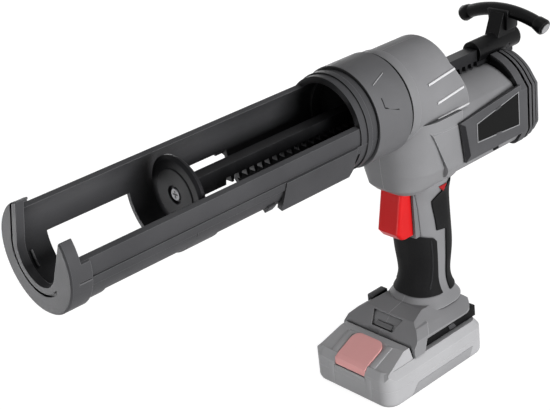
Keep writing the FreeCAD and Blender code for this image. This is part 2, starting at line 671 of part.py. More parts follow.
# Side outlines of the soft skins as shares of the handle's depth, from its middle, and of the height
# from the foot's deck to the trigger's foot, or to the handle's top for the rear skin.
front_skin_shares = [(0.11, 0.13), (1.0, 0.13), (1.0, 1.0), (0.42, 1.0), (0.18, 0.94), (0.11, 0.88)]
rear_skin_shares = [(-0.10, 0.07), (-0.16, 0.59), (0.09, 0.61), (0.18, 0.87), (-0.03, 0.92), (-0.20, 0.99),
                    (-1.0, 0.99), (-1.0, 0.07)]


def make_soft_grips():
    # Soft skins over the front and back of the handle, cut from one thin sleeve.
    sleeve = grip_form(s.grip_skin).cut(grip_form(0))
    low = foot_deck
    trigger_foot = trigger_base - s.bezel_rim - s.fit_gap
    for label, shares, top in (("front_grip", front_skin_shares, trigger_foot),
                               ("rear_grip", rear_skin_shares, bulge_floor)):
        points = [(-s.grip_middle_behind + across * s.grip_depth, low + up * (top - low))
                  for across, up in shares]
        shape_node(label, one_solid(sleeve.common(prism("y", points, -s.grip_width, s.grip_width))))


# Rear cover with its side arms, and the badges let into them
fin_size_shares = [0.99, 0.965, 0.925]
cover_end_share = 0.86


def cover_section(growth):
    # The rear cover follows the motor block's section but stands proud of it, most on top.
    half = [(-s.block_base_half_width - growth, motor_height - s.block_drop - growth),
            (-s.block_half_width - growth, motor_height - s.block_side_drop),
            (-s.block_half_width - growth, motor_height + s.block_side_rise + s.cover_edge_lift)]
    return domed_section(half, motor_height + s.block_edge_rise + s.cover_edge_lift + growth,
                         s.block_edge_half_width + growth,
                         motor_height + s.block_crown_rise + s.cover_crown_lift + growth)


def cover_slab(growth, share, start, end):
    points, rounds = cover_section(growth)
    points = [(u * share, motor_height + (v - motor_height) * share) for u, v in points]
    return prism("x", points, start, end, [radius * share for radius in rounds])


def arm_points():
    return [(-s.arm_top_ahead, motor_height + s.arm_front_rise), (-s.block_rear_behind,
                                                                  motor_height + s.arm_rear_rise),
            (-s.block_rear_behind, motor_height - s.arm_drop), (-s.arm_low_ahead,
                                                                motor_height - s.arm_drop)]


def badge_points():
    return [(-s.badge_front_behind, motor_height + s.badge_front_rise),
            (-s.badge_rear_behind, motor_height + s.badge_rear_rise),
            (-s.badge_rear_behind, motor_height - s.badge_rear_drop),
            (-s.badge_front_behind, motor_height - s.badge_front_drop)]


def make_rear_cover():
    front = -s.block_rear_behind
    rear = -s.cover_rear_behind
    body = cover_slab(s.cover_growth, 1, front - s.cover_band, front)
    first_fin = front - s.cover_band - (s.fin_pitch - s.fin_thickness)
    pieces = [cover_slab(-s.cover_core_inset, cover_end_share, rear, front)]
    for i in range(fin_count):
        start = first_fin - i * s.fin_pitch
        pieces.append(cover_slab(s.cover_growth, fin_size_shares[i], start - s.fin_thickness, start))
    for way in (-1, 1):
        inner = way * s.block_half_width
        outer = way * (s.block_half_width + s.cover_arm_thickness)
        arm = prism("y", arm_points(), min(inner, outer), max(inner, outer))
        floor = outer - way * s.badge_thickness
        pieces.append(arm.cut(prism("y", badge_points(), min(floor, 2 * outer), max(floor, 2 * outer))))
    space = bar_x(s.motor_space_radius, rear + s.wall_thickness, front + s.cut_overrun, motor_height)
    # The rack and the pull handle's boss run through a channel along the top.
    half = s.boss_radius + 2 * s.fit_gap
    channel = block_between(vector(rear - s.cut_overrun, -half, rack_floor - 2 * s.fit_gap),
                            vector(front + s.cut_overrun, half, s.axis_height + s.barrel_radius))
    shape_node("rear_cover", one_solid(body.fuse(pieces).cut([space, channel])))


def make_badges():
    half = "block_half_width + cover_arm_thickness - badge_thickness / 2"
    front = "-badge_front_behind - fit_gap"
    rear = "-badge_rear_behind + fit_gap"
    corners = [(front, "badge_front_rise - fit_gap"), (rear, "badge_rear_rise - fit_gap"),
               (rear, "-badge_rear_drop + fit_gap"), (front, "-badge_front_drop + fit_gap")]
    for label, side in (("left_badge", half), ("right_badge", "-(" + half + ")")):
        body = padded(label, "XZ_Plane", corners, "badge_thickness", y=side)
        body.Placement.Base.z = motor_height
        bind(body, {"Placement.Base.z": motor_level})
        node(body, label)


# The motor axis lies below the rack by the gear train's radii.
motor_level = ("axis_height - rack_drop + rack_module * %g - rack_module * %g - gear_module * %g"
               % (addendum_share, rack_pinion_teeth / 2, (wheel_teeth + lay_pinion_teeth) / 2))
pinion_level = ("axis_height - rack_drop + rack_module * %g - rack_module * %g"
                % (addendum_share, rack_pinion_teeth / 2))

trigger_level = "(%s) - bulge_drop - trigger_gap - trigger_length" % motor_level
switch_level = trigger_level + " + switch_rise"
lock_level = "(%s) - bulge_drop - lock_drop" % motor_level


# Nose, collar and cradle
def make_spigot():
    flange = "barrel_radius - wall_thickness"
    front = "spigot_front_ahead"
    profile = turned("nose_turning", [
        ("spigot_rear_ahead", "spigot_bore"), ("spigot_rear_ahead", flange), ("barrel_front_ahead", flange),
        ("barrel_front_ahead", "spigot_radius"), (front, "spigot_radius"), (front, "0"),
        (front + " - spigot_wall", "0"), (front + " - spigot_wall", "spigot_bore")])
    slot = box("nose_rack_slot", "spigot_wall + 2 * cut_overrun", "2 * (rack_half_width + fit_gap)",
               "rack_rise + rack_drop + 2 * fit_gap", front + " - spigot_wall - cut_overrun",
               "-rack_half_width - fit_gap", "axis_height - rack_drop - fit_gap")
    node(cut("nose_spigot", profile, slot), "nose_spigot")


def make_collar():
    front = "collar_front_ahead"
    rear = "barrel_front_ahead + fit_gap"
    seat = "spigot_front_ahead"
    bore = "spigot_radius + fit_gap"
    groove_end = seat + " + 2 * fit_gap + flange_thickness + fit_gap"
    node(turned("collar", [
        (rear, bore), (rear, "collar_radius - fit_gap"), (rear + " + fit_gap", "collar_radius"),
        (front + " - fit_gap", "collar_radius"), (front, "collar_radius - fit_gap"),
        (front, bore + " + fit_gap"), (groove_end, bore + " + fit_gap"), (groove_end,
                                                                          "collar_groove_radius"),
        (seat, "collar_groove_radius"), (seat, bore)]), "collar")


def wedge(start, end, half_angle, reach):
    # A sector about the barrel axis, centred on straight down.
    low = math.radians(270 - half_angle)
    high = math.radians(270 + half_angle)
    points = [(0, 0), (reach * math.cos(low), reach * math.sin(low)), (-reach, -2 * reach), (reach,
                                                                                             -2 * reach),
              (reach * math.cos(high), reach * math.sin(high))]
    return prism("x", points, start, end)


def make_cradle():
    # Drawn about its own axis and then turned on it, as it is left in use.
    bore = s.cradle_bore
    seat = s.spigot_front_ahead + s.fit_gap
    ring_start = s.collar_front_ahead + s.fit_gap
    neck = s.spigot_radius + s.fit_gap
    trough = bar_x(cradle_radius, ring_start, s.cradle_front_ahead, 0)
    reach = 2 * cradle_radius
    for way in (-1, 1):
        inner = way * bore
        trough = trough.fuse([
            block_between(vector(ring_start, min(inner, way * (cradle_radius + s.ledge_proud)),
                                 -s.ledge_drop),
                          vector(s.cradle_front_ahead, max(inner, way * (cradle_radius + s.ledge_proud)),
                                 s.ledge_rise)),
            prism("y", [(s.keel_start, s.ledge_rise), (s.keel_end, s.ledge_rise), (s.keel_end,
                                                                                   -s.keel_drop),
                        (s.keel_start + s.keel_chamfer / 2, -s.keel_drop),
                        (s.keel_start, -s.keel_drop + s.keel_chamfer)],
                  min(0, way * s.keel_half_width), max(0, way * s.keel_half_width))])
    trough = trough.cut(block_between(vector(s.cradle_ring_ahead, -reach, s.cradle_edge_rise),
                                      vector(s.cradle_front_ahead + s.cut_overrun, reach, reach)))
    ring = bar_x(s.cradle_ring_radius, ring_start, s.cradle_ring_ahead, 0)
    bead_start = (ring_start + s.cradle_ring_ahead - s.cradle_bead_width) / 2
    bead = bar_x(s.cradle_bead_radius, bead_start, bead_start + s.cradle_bead_width, 0)
    flange = bar_x(s.flange_radius, seat, seat + s.flange_thickness, 0)
    throat = bar_x(neck, seat, ring_start + s.cut_overrun, 0)
    body = trough.fuse([ring, bead, flange, throat])
    body = body.cut(bar_x(bore, s.collar_front_ahead, s.cradle_front_ahead + s.cut_overrun, 0))
    body = body.cut(bar_x(neck - s.cradle_wall, seat - s.cut_overrun, s.collar_front_ahead + s.cut_overrun,
                          0))
    for start, end in ((s.front_window_start, s.front_window_end), (s.rear_window_start,
                                                                    s.rear_window_end)):
        body = body.cut(wedge(start, end, s.window_half_angle, cradle_radius))
    item = shape_node("cradle", one_solid(body))
    turn_cradle(item)


def turn_cradle(item):
    item.Placement = FreeCAD.Placement(vector(0, 0, s.axis_height),
                                       FreeCAD.Rotation(vector(1, 0, 0), -s.cradle_turn_angle))


def nozzle_slot(growth, start, end):
    # The cap's slot for the nozzle, round below and wider towards its open top, grown by a margin.
    half = s.slot_half_width + growth
    top_half = s.slot_top_half_width + growth
    reach = 2 * s.cap_radius
    sides = [(-half, s.slot_middle_rise), (-top_half, s.slot_top_rise), (-top_half, reach), (top_half, reach),
             (top_half, s.slot_top_rise), (half, s.slot_middle_rise)]
    return prism("x", sides, start, end).fuse(bar_x(half, start, end, s.slot_middle_rise))


def cap_groove():
    # A groove in the cap's face that follows the slot and leaves a lip beside it. On the left it ends
    # below the axis.
    front = s.cap_front_ahead
    floor = front - s.cap_groove_depth
    outer = nozzle_slot(s.cap_lip_width + s.cap_groove_width, floor, front + s.cut_overrun)
    lip = nozzle_slot(s.cap_lip_width, floor - s.cut_overrun, front + 2 * s.cut_overrun)
    left_end = block_between(vector(floor - s.cut_overrun, 0, -s.cap_groove_end_drop),
                             vector(front + 2 * s.cut_overrun, 2 * s.cap_radius, 2 * s.cap_radius))
    return outer.cut([lip, left_end])


def make_front_cap():
    front = s.cap_front_ahead
    rear = front - s.cap_skirt
    seat = s.cradle_front_ahead
    bevel = s.cap_radius - s.cap_face_radius
    body = bar_x(s.cap_radius, rear, front - bevel, 0)
    rim = Part.makeCone(s.cap_radius, s.cap_face_radius, bevel, vector(front - bevel, 0, 0), vector(1, 0,
                                                                                                    0))
    ledge = s.ledge_proud + s.fit_gap
    body = body.fuse(rim).cut(bar_x(cradle_radius + s.fit_gap / 2, rear - s.cut_overrun, seat, 0))
    reach = 2 * s.cap_radius
    for way in (-1, 1):
        edge = way * (cradle_radius + ledge)
        body = body.cut(block_between(vector(rear - s.cut_overrun, min(0, edge), -s.ledge_drop - s.fit_gap),
                                      vector(seat, max(0, edge), s.ledge_rise + s.fit_gap)))
    body = body.cut(block_between(vector(rear - s.cut_overrun, -reach, s.cradle_edge_rise),
                                  vector(front - s.cap_horn, reach, reach)))
    body = body.cut([nozzle_slot(0, rear - s.cut_overrun, front + s.cut_overrun), cap_groove()])
    body = body.cut(block_between(vector(rear - s.cut_overrun, -reach, s.slot_top_rise),
                                  vector(front + s.cut_overrun, reach, reach)))
    turn_cradle(shape_node("front_cap", one_solid(body)))


# Rack, pusher and pull handle
def make_rack():
    pitch = math.pi * s.rack_module
    tip = tip_width_share * pitch / 2
    root = root_width_share * pitch / 2
    depth = s.rack_module * (addendum_share + dedendum_share)
    start = -s.rack_rear_behind + s.rack_plain_rear
    end = s.rack_front_ahead - s.rack_plain_front
    first = math.ceil((start + s.pinion_behind) / pitch)
    last = math.floor((end + s.pinion_behind) / pitch) - 1
    points = [(-s.rack_rear_behind, s.axis_height + s.rack_rise), (-s.rack_rear_behind, rack_floor)]
    gap_root = pitch / 2 - root
    gap_tip = pitch / 2 - tip
    for i in range(first, last + 1):
        middle = -s.pinion_behind + i * pitch
        points += [(middle - gap_tip, rack_floor), (middle - gap_root, rack_floor + depth),
                   (middle + gap_root, rack_floor + depth), (middle + gap_tip, rack_floor)]
    points += [(s.rack_front_ahead, rack_floor), (s.rack_front_ahead, s.axis_height + s.rack_rise)]
    body = prism("y", points, -s.rack_half_width, s.rack_half_width)
    body = body.cut(bar_x(s.stud_radius, s.rack_front_ahead - s.rack_plain_front / 2,
                          s.rack_front_ahead + s.cut_overrun, s.axis_height))
    body = body.cut(bar_y(s.pin_radius, -2 * s.rack_half_width, 2 * s.rack_half_width, -s.pin_behind,
                          s.axis_height))
    shape_node("rack", one_solid(body))


def make_pusher():
    front = "pusher_front_ahead"
    rear = "pusher_front_ahead - pusher_thickness"
    node(turned("pusher_plate", [
        (rear, "stud_radius"), (rear, "pusher_radius - pusher_bevel"), (rear + " + pusher_bevel",
                                                                        "pusher_radius"),
        (front + " - pusher_bevel", "pusher_radius"), (front + " - pusher_face_step",
                                                       "pusher_radius - pusher_bevel"),
        (front + " - pusher_face_step", "pusher_face_radius + pusher_face_step"), (front,
                                                                                   "pusher_face_radius"),
        (front, "pusher_dish_radius"), (front + " - pusher_dish_depth",
                                        "pusher_dish_radius - pusher_face_step"),
        (front + " - pusher_dish_depth", "stud_radius")]), "pusher_plate")
    seat = front + " - pusher_dish_depth"
    node(turned("pusher_screw", [
        ("rack_front_ahead - rack_plain_front / 2", "0"), ("rack_front_ahead - rack_plain_front / 2",
                                                           "stud_radius"),
        (seat, "stud_radius"), (seat, "screw_head_radius"),
        (seat + " + screw_head_height", "screw_head_radius - screw_head_height / 2"),
        (seat + " + screw_head_height", "0")]), "pusher_screw")
    prism_item = doc.addObject("Part::Prism", "hub_hexagon")
    prism_item.Polygon = 6
    bind(prism_item, {"Circumradius": "hub_radius",
                      "Height": "pusher_front_ahead - pusher_thickness - rack_front_ahead"})
    place(prism_item, "rack_front_ahead", "0", "axis_height", along_x)
    hole = rod("hub_hole", "stud_radius", "hub_length + 2 * cut_overrun", "rack_front_ahead - cut_overrun",
               "0",
               "axis_height", along_x)
    node(cut("pusher_hub", prism_item, hole), "pusher_hub")


def make_pull_handle():
    # A boss that holds the rack's end, a leaning neck and an arched cross bar.
    height = s.axis_height + s.boss_lift
    boss = bar_x(s.boss_radius, -s.boss_rear_behind, -s.boss_front_behind, height)
    end_height = s.axis_height + s.bar_end_rise
    bar_height = s.axis_height + s.bar_middle_rise
    path = Part.Wire([Part.Arc(vector(-s.bar_behind, -s.bar_half_length, end_height), vector(-s.bar_behind,
                                                                                             0, bar_height),
                               vector(-s.bar_behind, s.bar_half_length, end_height)).toShape()])
    start = path.Edges[0].tangentAt(path.Edges[0].FirstParameter)
    ring = Part.Wire(Part.makeCircle(s.bar_radius, vector(-s.bar_behind, -s.bar_half_length, end_height),
                                     start))
    grip_bar = path.makePipeShell([ring], True, False)
    neck = prism("y", [(-s.neck_front_behind, height), (-s.neck_front_behind - s.neck_lean, bar_height),
                       (-s.neck_rear_behind, bar_height), (-s.neck_rear_behind, height)],
                 -s.neck_half_width, s.neck_half_width)
    channel = block_between(
        vector(-s.rack_rear_behind, -s.rack_half_width, height - 2 * s.boss_radius),
        vector(-s.boss_front_behind + s.cut_overrun, s.rack_half_width, s.axis_height + s.rack_rise))
    body = boss.fuse([grip_bar, neck]).cut(channel)
    body = body.cut(bar_y(s.pin_radius, -2 * s.boss_radius, 2 * s.boss_radius, -s.pin_behind,
                          s.axis_height))
    shape_node("pull_handle", one_solid(body))
    node(rod("handle_pin", "pin_radius", "pin_length", "-pin_behind", "-pin_length / 2", "axis_height",
             along_y), "handle_pin")


def make_rack_guide():
    outer = box("guide_block", "guide_rear_behind - guide_front_behind",
                "2 * (rack_half_width + fit_gap + guide_wall)",
                "rack_rise + rack_drop + 2 * (fit_gap + guide_wall)", "-guide_rear_behind",
                "-rack_half_width - fit_gap - guide_wall", "axis_height - rack_drop - fit_gap - guide_wall")
    slot = box("guide_slot", "guide_rear_behind - guide_front_behind + 2 * cut_overrun",
               "2 * (rack_half_width + fit_gap)",
               "rack_rise + rack_drop + 2 * fit_gap", "-guide_rear_behind - cut_overrun",
               "-rack_half_width - fit_gap",
               "axis_height - rack_drop - fit_gap")
    node(cut("rack_guide", outer, slot), "rack_guide")


# Gears
axes = {"x": (vector(1, 0, 0), vector(0, 1, 0), vector(0, 0, 1)),
        "y": (vector(0, 1, 0), vector(0, 0, 1), vector(1, 0, 0))}


def gear_outline(teeth, module, phase, inward):
    # Straight-sided teeth about the pitch circle; inward teeth belong to a ring gear.
    radius = module * teeth / 2
    sign = -1 if inward else 1
    tip_radius = radius + sign * module * addendum_share
    root_radius = radius - sign * module * dedendum_share
    pitch_angle = 2 * math.pi / teeth
    points = []
    for i in range(teeth):
        middle = phase + i * pitch_angle
        for share, reach in ((-root_width_share, root_radius), (-tip_width_share, tip_radius),
                             (tip_width_share, tip_radius), (root_width_share, root_radius)):
            angle = middle + share * pitch_angle / 2
            points.append((reach * math.cos(angle), reach * math.sin(angle)))
    return points


def gear_blank(axis, points, centre, start, width):
    way, across, upward = axes[axis]
    base = centre + way * start
    corners = [base + across * u + upward * v for u, v in points]
    wire = Part.makePolygon(corners + [corners[0]])
    return Part.Face(wire).extrude(way * width)


def spur_gear(axis, teeth, module, centre, start, width, bore, phase=0.0):
    way = axes[axis][0]
    blank = gear_blank(axis, gear_outline(teeth, module, phase, False), centre, start, width)
    hole = Part.makeCylinder(bore, width + 2 * s.cut_overrun, centre + way * (start - s.cut_overrun), way)
    return blank.cut(hole)


def make_gear_train():
    pinion_middle = vector(-s.pinion_behind, 0, pinion_height)
    lay_middle = vector(-s.pinion_behind, 0, motor_height)
    shaft = s.train_shaft_radius
    shape_node("rack_pinion", spur_gear("y", rack_pinion_teeth, s.rack_module, pinion_middle,
                                        -s.pinion_start,
                                        s.pinion_width, shaft))
    shape_node("spur_wheel", spur_gear("y", wheel_teeth, s.gear_module, pinion_middle, s.wheel_start,
                                       s.wheel_width,
                                       shaft, math.pi / wheel_teeth))
    shape_node("lay_pinion", spur_gear("y", lay_pinion_teeth, s.gear_module, lay_middle, s.wheel_start,
                                       s.wheel_width, shaft))
    make_crown_gear(lay_middle)
    shape_node("clutch_pinion", spur_gear("x", clutch_teeth, s.gear_module,
                                          vector(0, 0, motor_height),
                                          -s.pinion_behind - crown_radius - s.clutch_length / 2,
                                          s.clutch_length, s.carrier_nose_radius + s.running_gap))
    for label, level in (("pinion_shaft", pinion_level), ("layshaft", motor_level)):
        node(rod(label, "train_shaft_radius", "2 * (bearing_inner_half_width + bearing_width)",
                 "-pinion_behind",
                 "-bearing_inner_half_width - bearing_width", level, along_y), label)
    for label, level in (("pinion_bearings", pinion_level), ("layshaft_bearings", motor_level)):
        node(group(label, [bearing(label + side, level, start) for side, start in
                           (("_left", "bearing_inner_half_width"),
                            ("_right", "-bearing_inner_half_width - bearing_width"))]), label)


def bearing(name, level, start):
    outer = rod(name + "_ring", "bearing_radius", "bearing_width", "-pinion_behind", start, level, along_y)
    hole = rod(name + "_bore", "train_shaft_radius + running_gap", "bearing_width + 2 * cut_overrun",
               "-pinion_behind",
               start + " - cut_overrun", level, along_y)
    return cut(name, outer, hole)


def make_crown_gear(middle):
    # A face gear on the layshaft: radial teeth that point at the clutch pinion.
    outer = crown_radius + s.crown_face / 2
    inner = crown_radius - s.crown_face / 2
    tooth_top = -clutch_radius + s.gear_module * crown_tip_share
    tooth_root = -clutch_radius - s.gear_module * dedendum_share
    disc = bar_y(outer, tooth_root - s.crown_back, tooth_root, middle.x, middle.z)
    pitch_angle = 2 * math.pi / crown_teeth
    teeth = []
    for i in range(crown_teeth):
        # The first tooth stands half a pitch from the mesh, where the pinion has a tooth.
        angle = (i + 0.5) * pitch_angle
        wires = []
        for radius in (inner, outer):
            local_pitch = pitch_angle * radius
            points = [(-crown_root_width_share, tooth_root), (-crown_tip_width_share, tooth_top),
                      (crown_tip_width_share, tooth_top), (crown_root_width_share, tooth_root)]
            corners = []
            for share, y in points:
                side = share * local_pitch / 2
                x = middle.x - radius * math.cos(angle) + side * math.sin(angle)
                z = middle.z + radius * math.sin(angle) + side * math.cos(angle)
                corners.append(vector(x, y, z))
            wires.append(Part.makePolygon(corners + [corners[0]]))
        teeth.append(Part.makeLoft(wires, True, True))
    body = disc.fuse(teeth).cut(bar_y(s.train_shaft_radius, tooth_root - s.crown_back - s.cut_overrun,
                                      tooth_top + s.cut_overrun, middle.x, middle.z))
    shape_node("crown_gear", one_solid(body))


def make_gearbox():
    front = -s.gearbox_front_behind
    rear = -s.gearbox_rear_behind
    middle = vector(0, 0, motor_height)
    ring_front = front - s.gearbox_plate
    ring = bar_x(s.ring_radius, rear, ring_front, motor_height)
    hollow = gear_blank("x", gear_outline(ring_teeth, s.planet_module, 0, True), middle,
                        rear - s.cut_overrun,
                        ring_front - rear + 2 * s.cut_overrun)
    shape_node("ring_gear", one_solid(ring.cut(hollow)))
    node(turned("gearbox_cover", [
        ("-gearbox_front_behind", "carrier_shaft_radius + running_gap"), ("-gearbox_front_behind",
                                                                          "ring_radius"),
        ("-gearbox_front_behind - gearbox_plate", "ring_radius"),
        ("-gearbox_front_behind - gearbox_plate", "carrier_shaft_radius + running_gap")], z=motor_level),
         "gearbox_cover")
    carrier_front = ring_front - s.fit_gap
    carrier_rear = carrier_front - s.carrier_thickness
    planet_front = carrier_rear - s.fit_gap
    nose_end = -s.pinion_behind - crown_radius + s.clutch_length / 2
    shoulder = -s.pinion_behind - crown_radius - s.clutch_length / 2 - s.fit_gap
    carrier = bar_x(planet_orbit + planet_radius / 2, carrier_rear, carrier_front, motor_height)
    pieces = [bar_x(s.carrier_shaft_radius, carrier_front, shoulder, motor_height),
              bar_x(s.carrier_nose_radius, shoulder, nose_end, motor_height)]
    for i in range(planet_count):
        y, z = planet_place(i)
        pieces.append(bar_x(s.planet_pin_radius, planet_front - s.planet_width, carrier_rear, z, y))
    shape_node("planet_carrier", one_solid(carrier.fuse(pieces)))
    for i in range(planet_count):
        y, z = planet_place(i)
        angle = planet_angle(i)
        shape_node("planet_gear_%d" % (i + 1), spur_gear(
            "x", planet_teeth, s.planet_module, vector(0, y, z), planet_front - s.planet_width,
            s.planet_width,
            s.planet_pin_radius + s.running_gap, angle + math.pi / planet_teeth))
    shape_node("motor_pinion", spur_gear("x", sun_teeth, s.planet_module, middle,
                                         planet_front - s.planet_width,
                                         s.planet_width, s.motor_shaft_radius))


def planet_angle(index):
    return math.pi / 2 + 2 * math.pi * index / planet_count


def planet_place(index):
    angle = planet_angle(index)
    return planet_orbit * math.cos(angle), motor_height + planet_orbit * math.sin(angle)


# Motor
def make_motor():
    front = "-gearbox_rear_behind"
    rear = "-gearbox_rear_behind - motor_length"
    hole = "motor_shaft_radius + running_gap"
    node(turned("motor_can", [
        (front, hole), (front, "motor_radius"), (rear, "motor_radius"), (rear, hole),
        (rear + " + motor_wall", hole), (rear + " + motor_wall", "motor_radius - motor_wall"),
        (front + " - motor_wall", "motor_radius - motor_wall"), (front + " - motor_wall", hole)],
        z=motor_level), "motor_can")
    rotor_rear = "-gearbox_rear_behind - motor_length / 2 - rotor_length / 2"
    rotor_front = "-gearbox_rear_behind - motor_length / 2 + rotor_length / 2"
    tail = rear + " - fan_gap - fan_width"
    planet_front = "-gearbox_front_behind - gearbox_plate - 2 * fit_gap - carrier_thickness"
    node(turned("motor_armature", [
        (planet_front, "0"), (planet_front, "motor_shaft_radius"), (rotor_front, "motor_shaft_radius"),
        (rotor_front, "rotor_radius"), (rotor_rear, "rotor_radius"), (rotor_rear, "motor_shaft_radius"),
        (tail, "motor_shaft_radius"), (tail, "0")], z=motor_level), "motor_armature")
    fan_front = motor_rear - s.fan_gap
    hub = bar_x(s.fan_radius / 3, fan_front - s.fan_width, fan_front, motor_height)
    disc = bar_x(s.fan_radius, fan_front - s.motor_wall, fan_front, motor_height)
    blades = []
    for i in range(fan_blades):
        blade = block_between(vector(fan_front - s.fan_width, -s.motor_wall / 2,
                                     motor_height + s.fan_radius / 4),
                              vector(fan_front, s.motor_wall / 2,
                                     motor_height + s.fan_radius - s.motor_wall))
        blades.append(blade.rotate(vector(0, 0, motor_height), vector(1, 0, 0), 360 * i / fan_blades))
    fan = disc.fuse([hub] + blades).cut(bar_x(s.motor_shaft_radius, fan_front - s.fan_width - s.cut_overrun,
                                              fan_front + s.cut_overrun, motor_height))
    shape_node("motor_fan", one_solid(fan))


# Trigger, lock button and switch
def make_trigger():
    top = "(%s) - bulge_drop - trigger_gap" % motor_level
    body = padded("trigger_form", "XZ_Plane", [
        ("-trigger_rear_behind", top), ("-trigger_top_behind", top),
        ("trigger_toe_ahead", trigger_level + " + trigger_toe_rise"),
        ("-trigger_tip_behind", trigger_level), ("-trigger_rear_behind", trigger_level)],
        "2 * trigger_half_width")
    rounded(body, "trigger_round", lambda edge: edge.CenterOfMass.x > -s.trigger_rear_behind / 2
            and abs(abs(edge.CenterOfMass.y) - s.trigger_half_width) < s.running_gap
            and edge.BoundBox.ZLength > edge.BoundBox.XLength)
    plunger = rod("trigger_plunger", "plunger_radius", "plunger_length",
                  "-trigger_rear_behind - plunger_length", "0",
                  switch_level + " + switch_height / 2", along_x)
    node(fuse("trigger", [body, plunger]), "trigger")


def make_trigger_bezel():
    top = "(%s) - bulge_drop - fit_gap" % motor_level
    low = trigger_level + " - bezel_rim"
    half = "trigger_half_width + bezel_rim"
    corners = [("-" + "(" + half + ")", low), (half, low), (half, top), ("-" + "(" + half + ")", top)]
    frame = padded("bezel_plate", "YZ_Plane", corners, "bezel_depth",
                   x="-bezel_front_behind - bezel_depth / 2")
    inner = "trigger_half_width + fit_gap"
    hole = box("bezel_hole", "bezel_depth + 2 * cut_overrun", "2 * (%s)" % inner,
               "trigger_gap + trigger_length + cut_overrun",
               "-bezel_front_behind - bezel_depth - cut_overrun", "-(%s)" % inner,
               trigger_level + " - fit_gap")
    node(cut("trigger_bezel", frame, hole), "trigger_bezel")


def make_switch():
    front = "-trigger_rear_behind - trigger_travel - fit_gap"
    body = box("switch_body", "switch_length", "2 * switch_half_width", "switch_height",
               front + " - switch_length",
               "-switch_half_width", switch_level)
    hole = rod("switch_hole", "plunger_radius + running_gap", "plunger_length + cut_overrun",
               front + " - plunger_length", "0", switch_level + " + switch_height / 2", along_x)
    node(cut("trigger_switch", body, hole), "trigger_switch")
    nose = "-trigger_rear_behind - trigger_travel - lock_gap"
    corners = [(nose, lock_level), (nose + " - lock_nose - lock_tail", lock_level),
               (nose + " - lock_nose", lock_level + " - lock_height")]
    node(padded("lock_button", "XZ_Plane", corners, "lock_length", y="lock_travel / 2"), "lock_button")


# Battery pack and the shoe under the foot
def make_battery_lower_case():
    half_length = "battery_length / 2"
    half_width = "battery_width / 2"
    body = padded("battery_lower_case", "XY_Plane", [
        ("-" + half_length, "-" + half_width), (half_length, "-" + half_width), (half_length, half_width),
        ("-" + half_length, half_width)], "battery_case_height", z="battery_case_height / 2")
    rounded(body, "battery_corner", lambda edge: runs_along(edge, vector(0, 0, 1)))
    floor = -s.battery_case_height / 2
    rounded(body, "battery_base_round", lambda edge: abs(edge.BoundBox.ZMax - floor) < s.running_gap)
    inner_length = "battery_length / 2 - battery_wall"
    inner_width = "battery_width / 2 - battery_wall"
    sketch = sketch_in(body, "battery_hollow_outline", "XY_Plane", [
        ("-(%s)" % inner_length, "-(%s) + hollow_corner" % inner_width),
        ("-(%s) + hollow_corner" % inner_length, "-(%s)" % inner_width),
        ("%s - hollow_corner" % inner_length, "-(%s)" % inner_width),
        (inner_length, "-(%s) + hollow_corner" % inner_width), (inner_length,
                                                                "%s - hollow_corner" % inner_width),
        ("%s - hollow_corner" % inner_length, inner_width), ("-(%s) + hollow_corner" % inner_length,
                                                             inner_width),
        ("-(%s)" % inner_length, "%s - hollow_corner" % inner_width)])
    bind(sketch, {"AttachmentOffset.Base.z": "battery_case_height / 2"})
    doc.recompute()
    before = body.Shape.Volume
    hollow = body.newObject("PartDesign::Pocket", "battery_hollow")
    hollow.Profile = sketch
    bind(hollow, {"Length": "battery_case_height - battery_wall"})
    doc.recompute()
    if body.Shape.Volume >= before:
        raise ValueError("the battery's hollow cut nothing")
    node(body, "battery_lower_case")


def button_outline():
    # Side view of the release button, which bends down over the front of the deck.
    rear = s.deck_break_ahead + s.button_proud
    nose = s.battery_length / 2 - s.button_proud
    top = s.deck_height + s.button_proud
    low = s.button_base_height
    return [(rear, top), (s.deck_nose_ahead, s.deck_nose_height + s.button_proud), (nose,
                                                                                    low + s.button_tail),
            (nose, low), (nose - s.button_toe_depth, low), (rear + s.button_flat, top - s.button_depth),
            (rear, top - s.button_depth)]


def button_plan(growth):
    # The button from above: round at both rear corners, open to the front.
    rear = s.deck_break_ahead + s.button_proud - growth
    reach = s.battery_length / 2 + 2 * s.cut_overrun
    half = s.button_half_width + growth
    round_corner = s.button_corner + growth
    return prism("z", [(rear, -half), (reach, -half), (reach, half), (rear, half)], 0,
                 2 * s.deck_height, [round_corner, 0, 0, round_corner])


def button_pocket():
    # The space that the button needs to be pressed down into the case.
    corners = button_outline()
    drop = s.button_travel + s.fit_gap
    reach = s.battery_length / 2 + s.cut_overrun
    top = corners[0][1]
    points = [(corners[0][0] - s.fit_gap, top), (reach, top), (reach, corners[3][1] - drop)]
    points += [(x - s.fit_gap, z - drop) for x, z in corners[4:]]
    half = s.button_half_width + s.fit_gap
    return prism("y", points, -half, half).common(button_plan(s.fit_gap))


def spring_well():
    seat = s.battery_top_height - s.spring_seat_depth
    return Part.makeCylinder(s.spring_radius + s.fit_gap, s.deck_height - seat, vector(s.spring_ahead, 0,
                                                                                       seat))


def battery_plan(inset):
    half_length = s.battery_length / 2 - inset
    half_width = s.battery_width / 2 - inset
    return [(-half_length, -half_width), (half_length, -half_width), (half_length, half_width),
            (-half_length, half_width)]


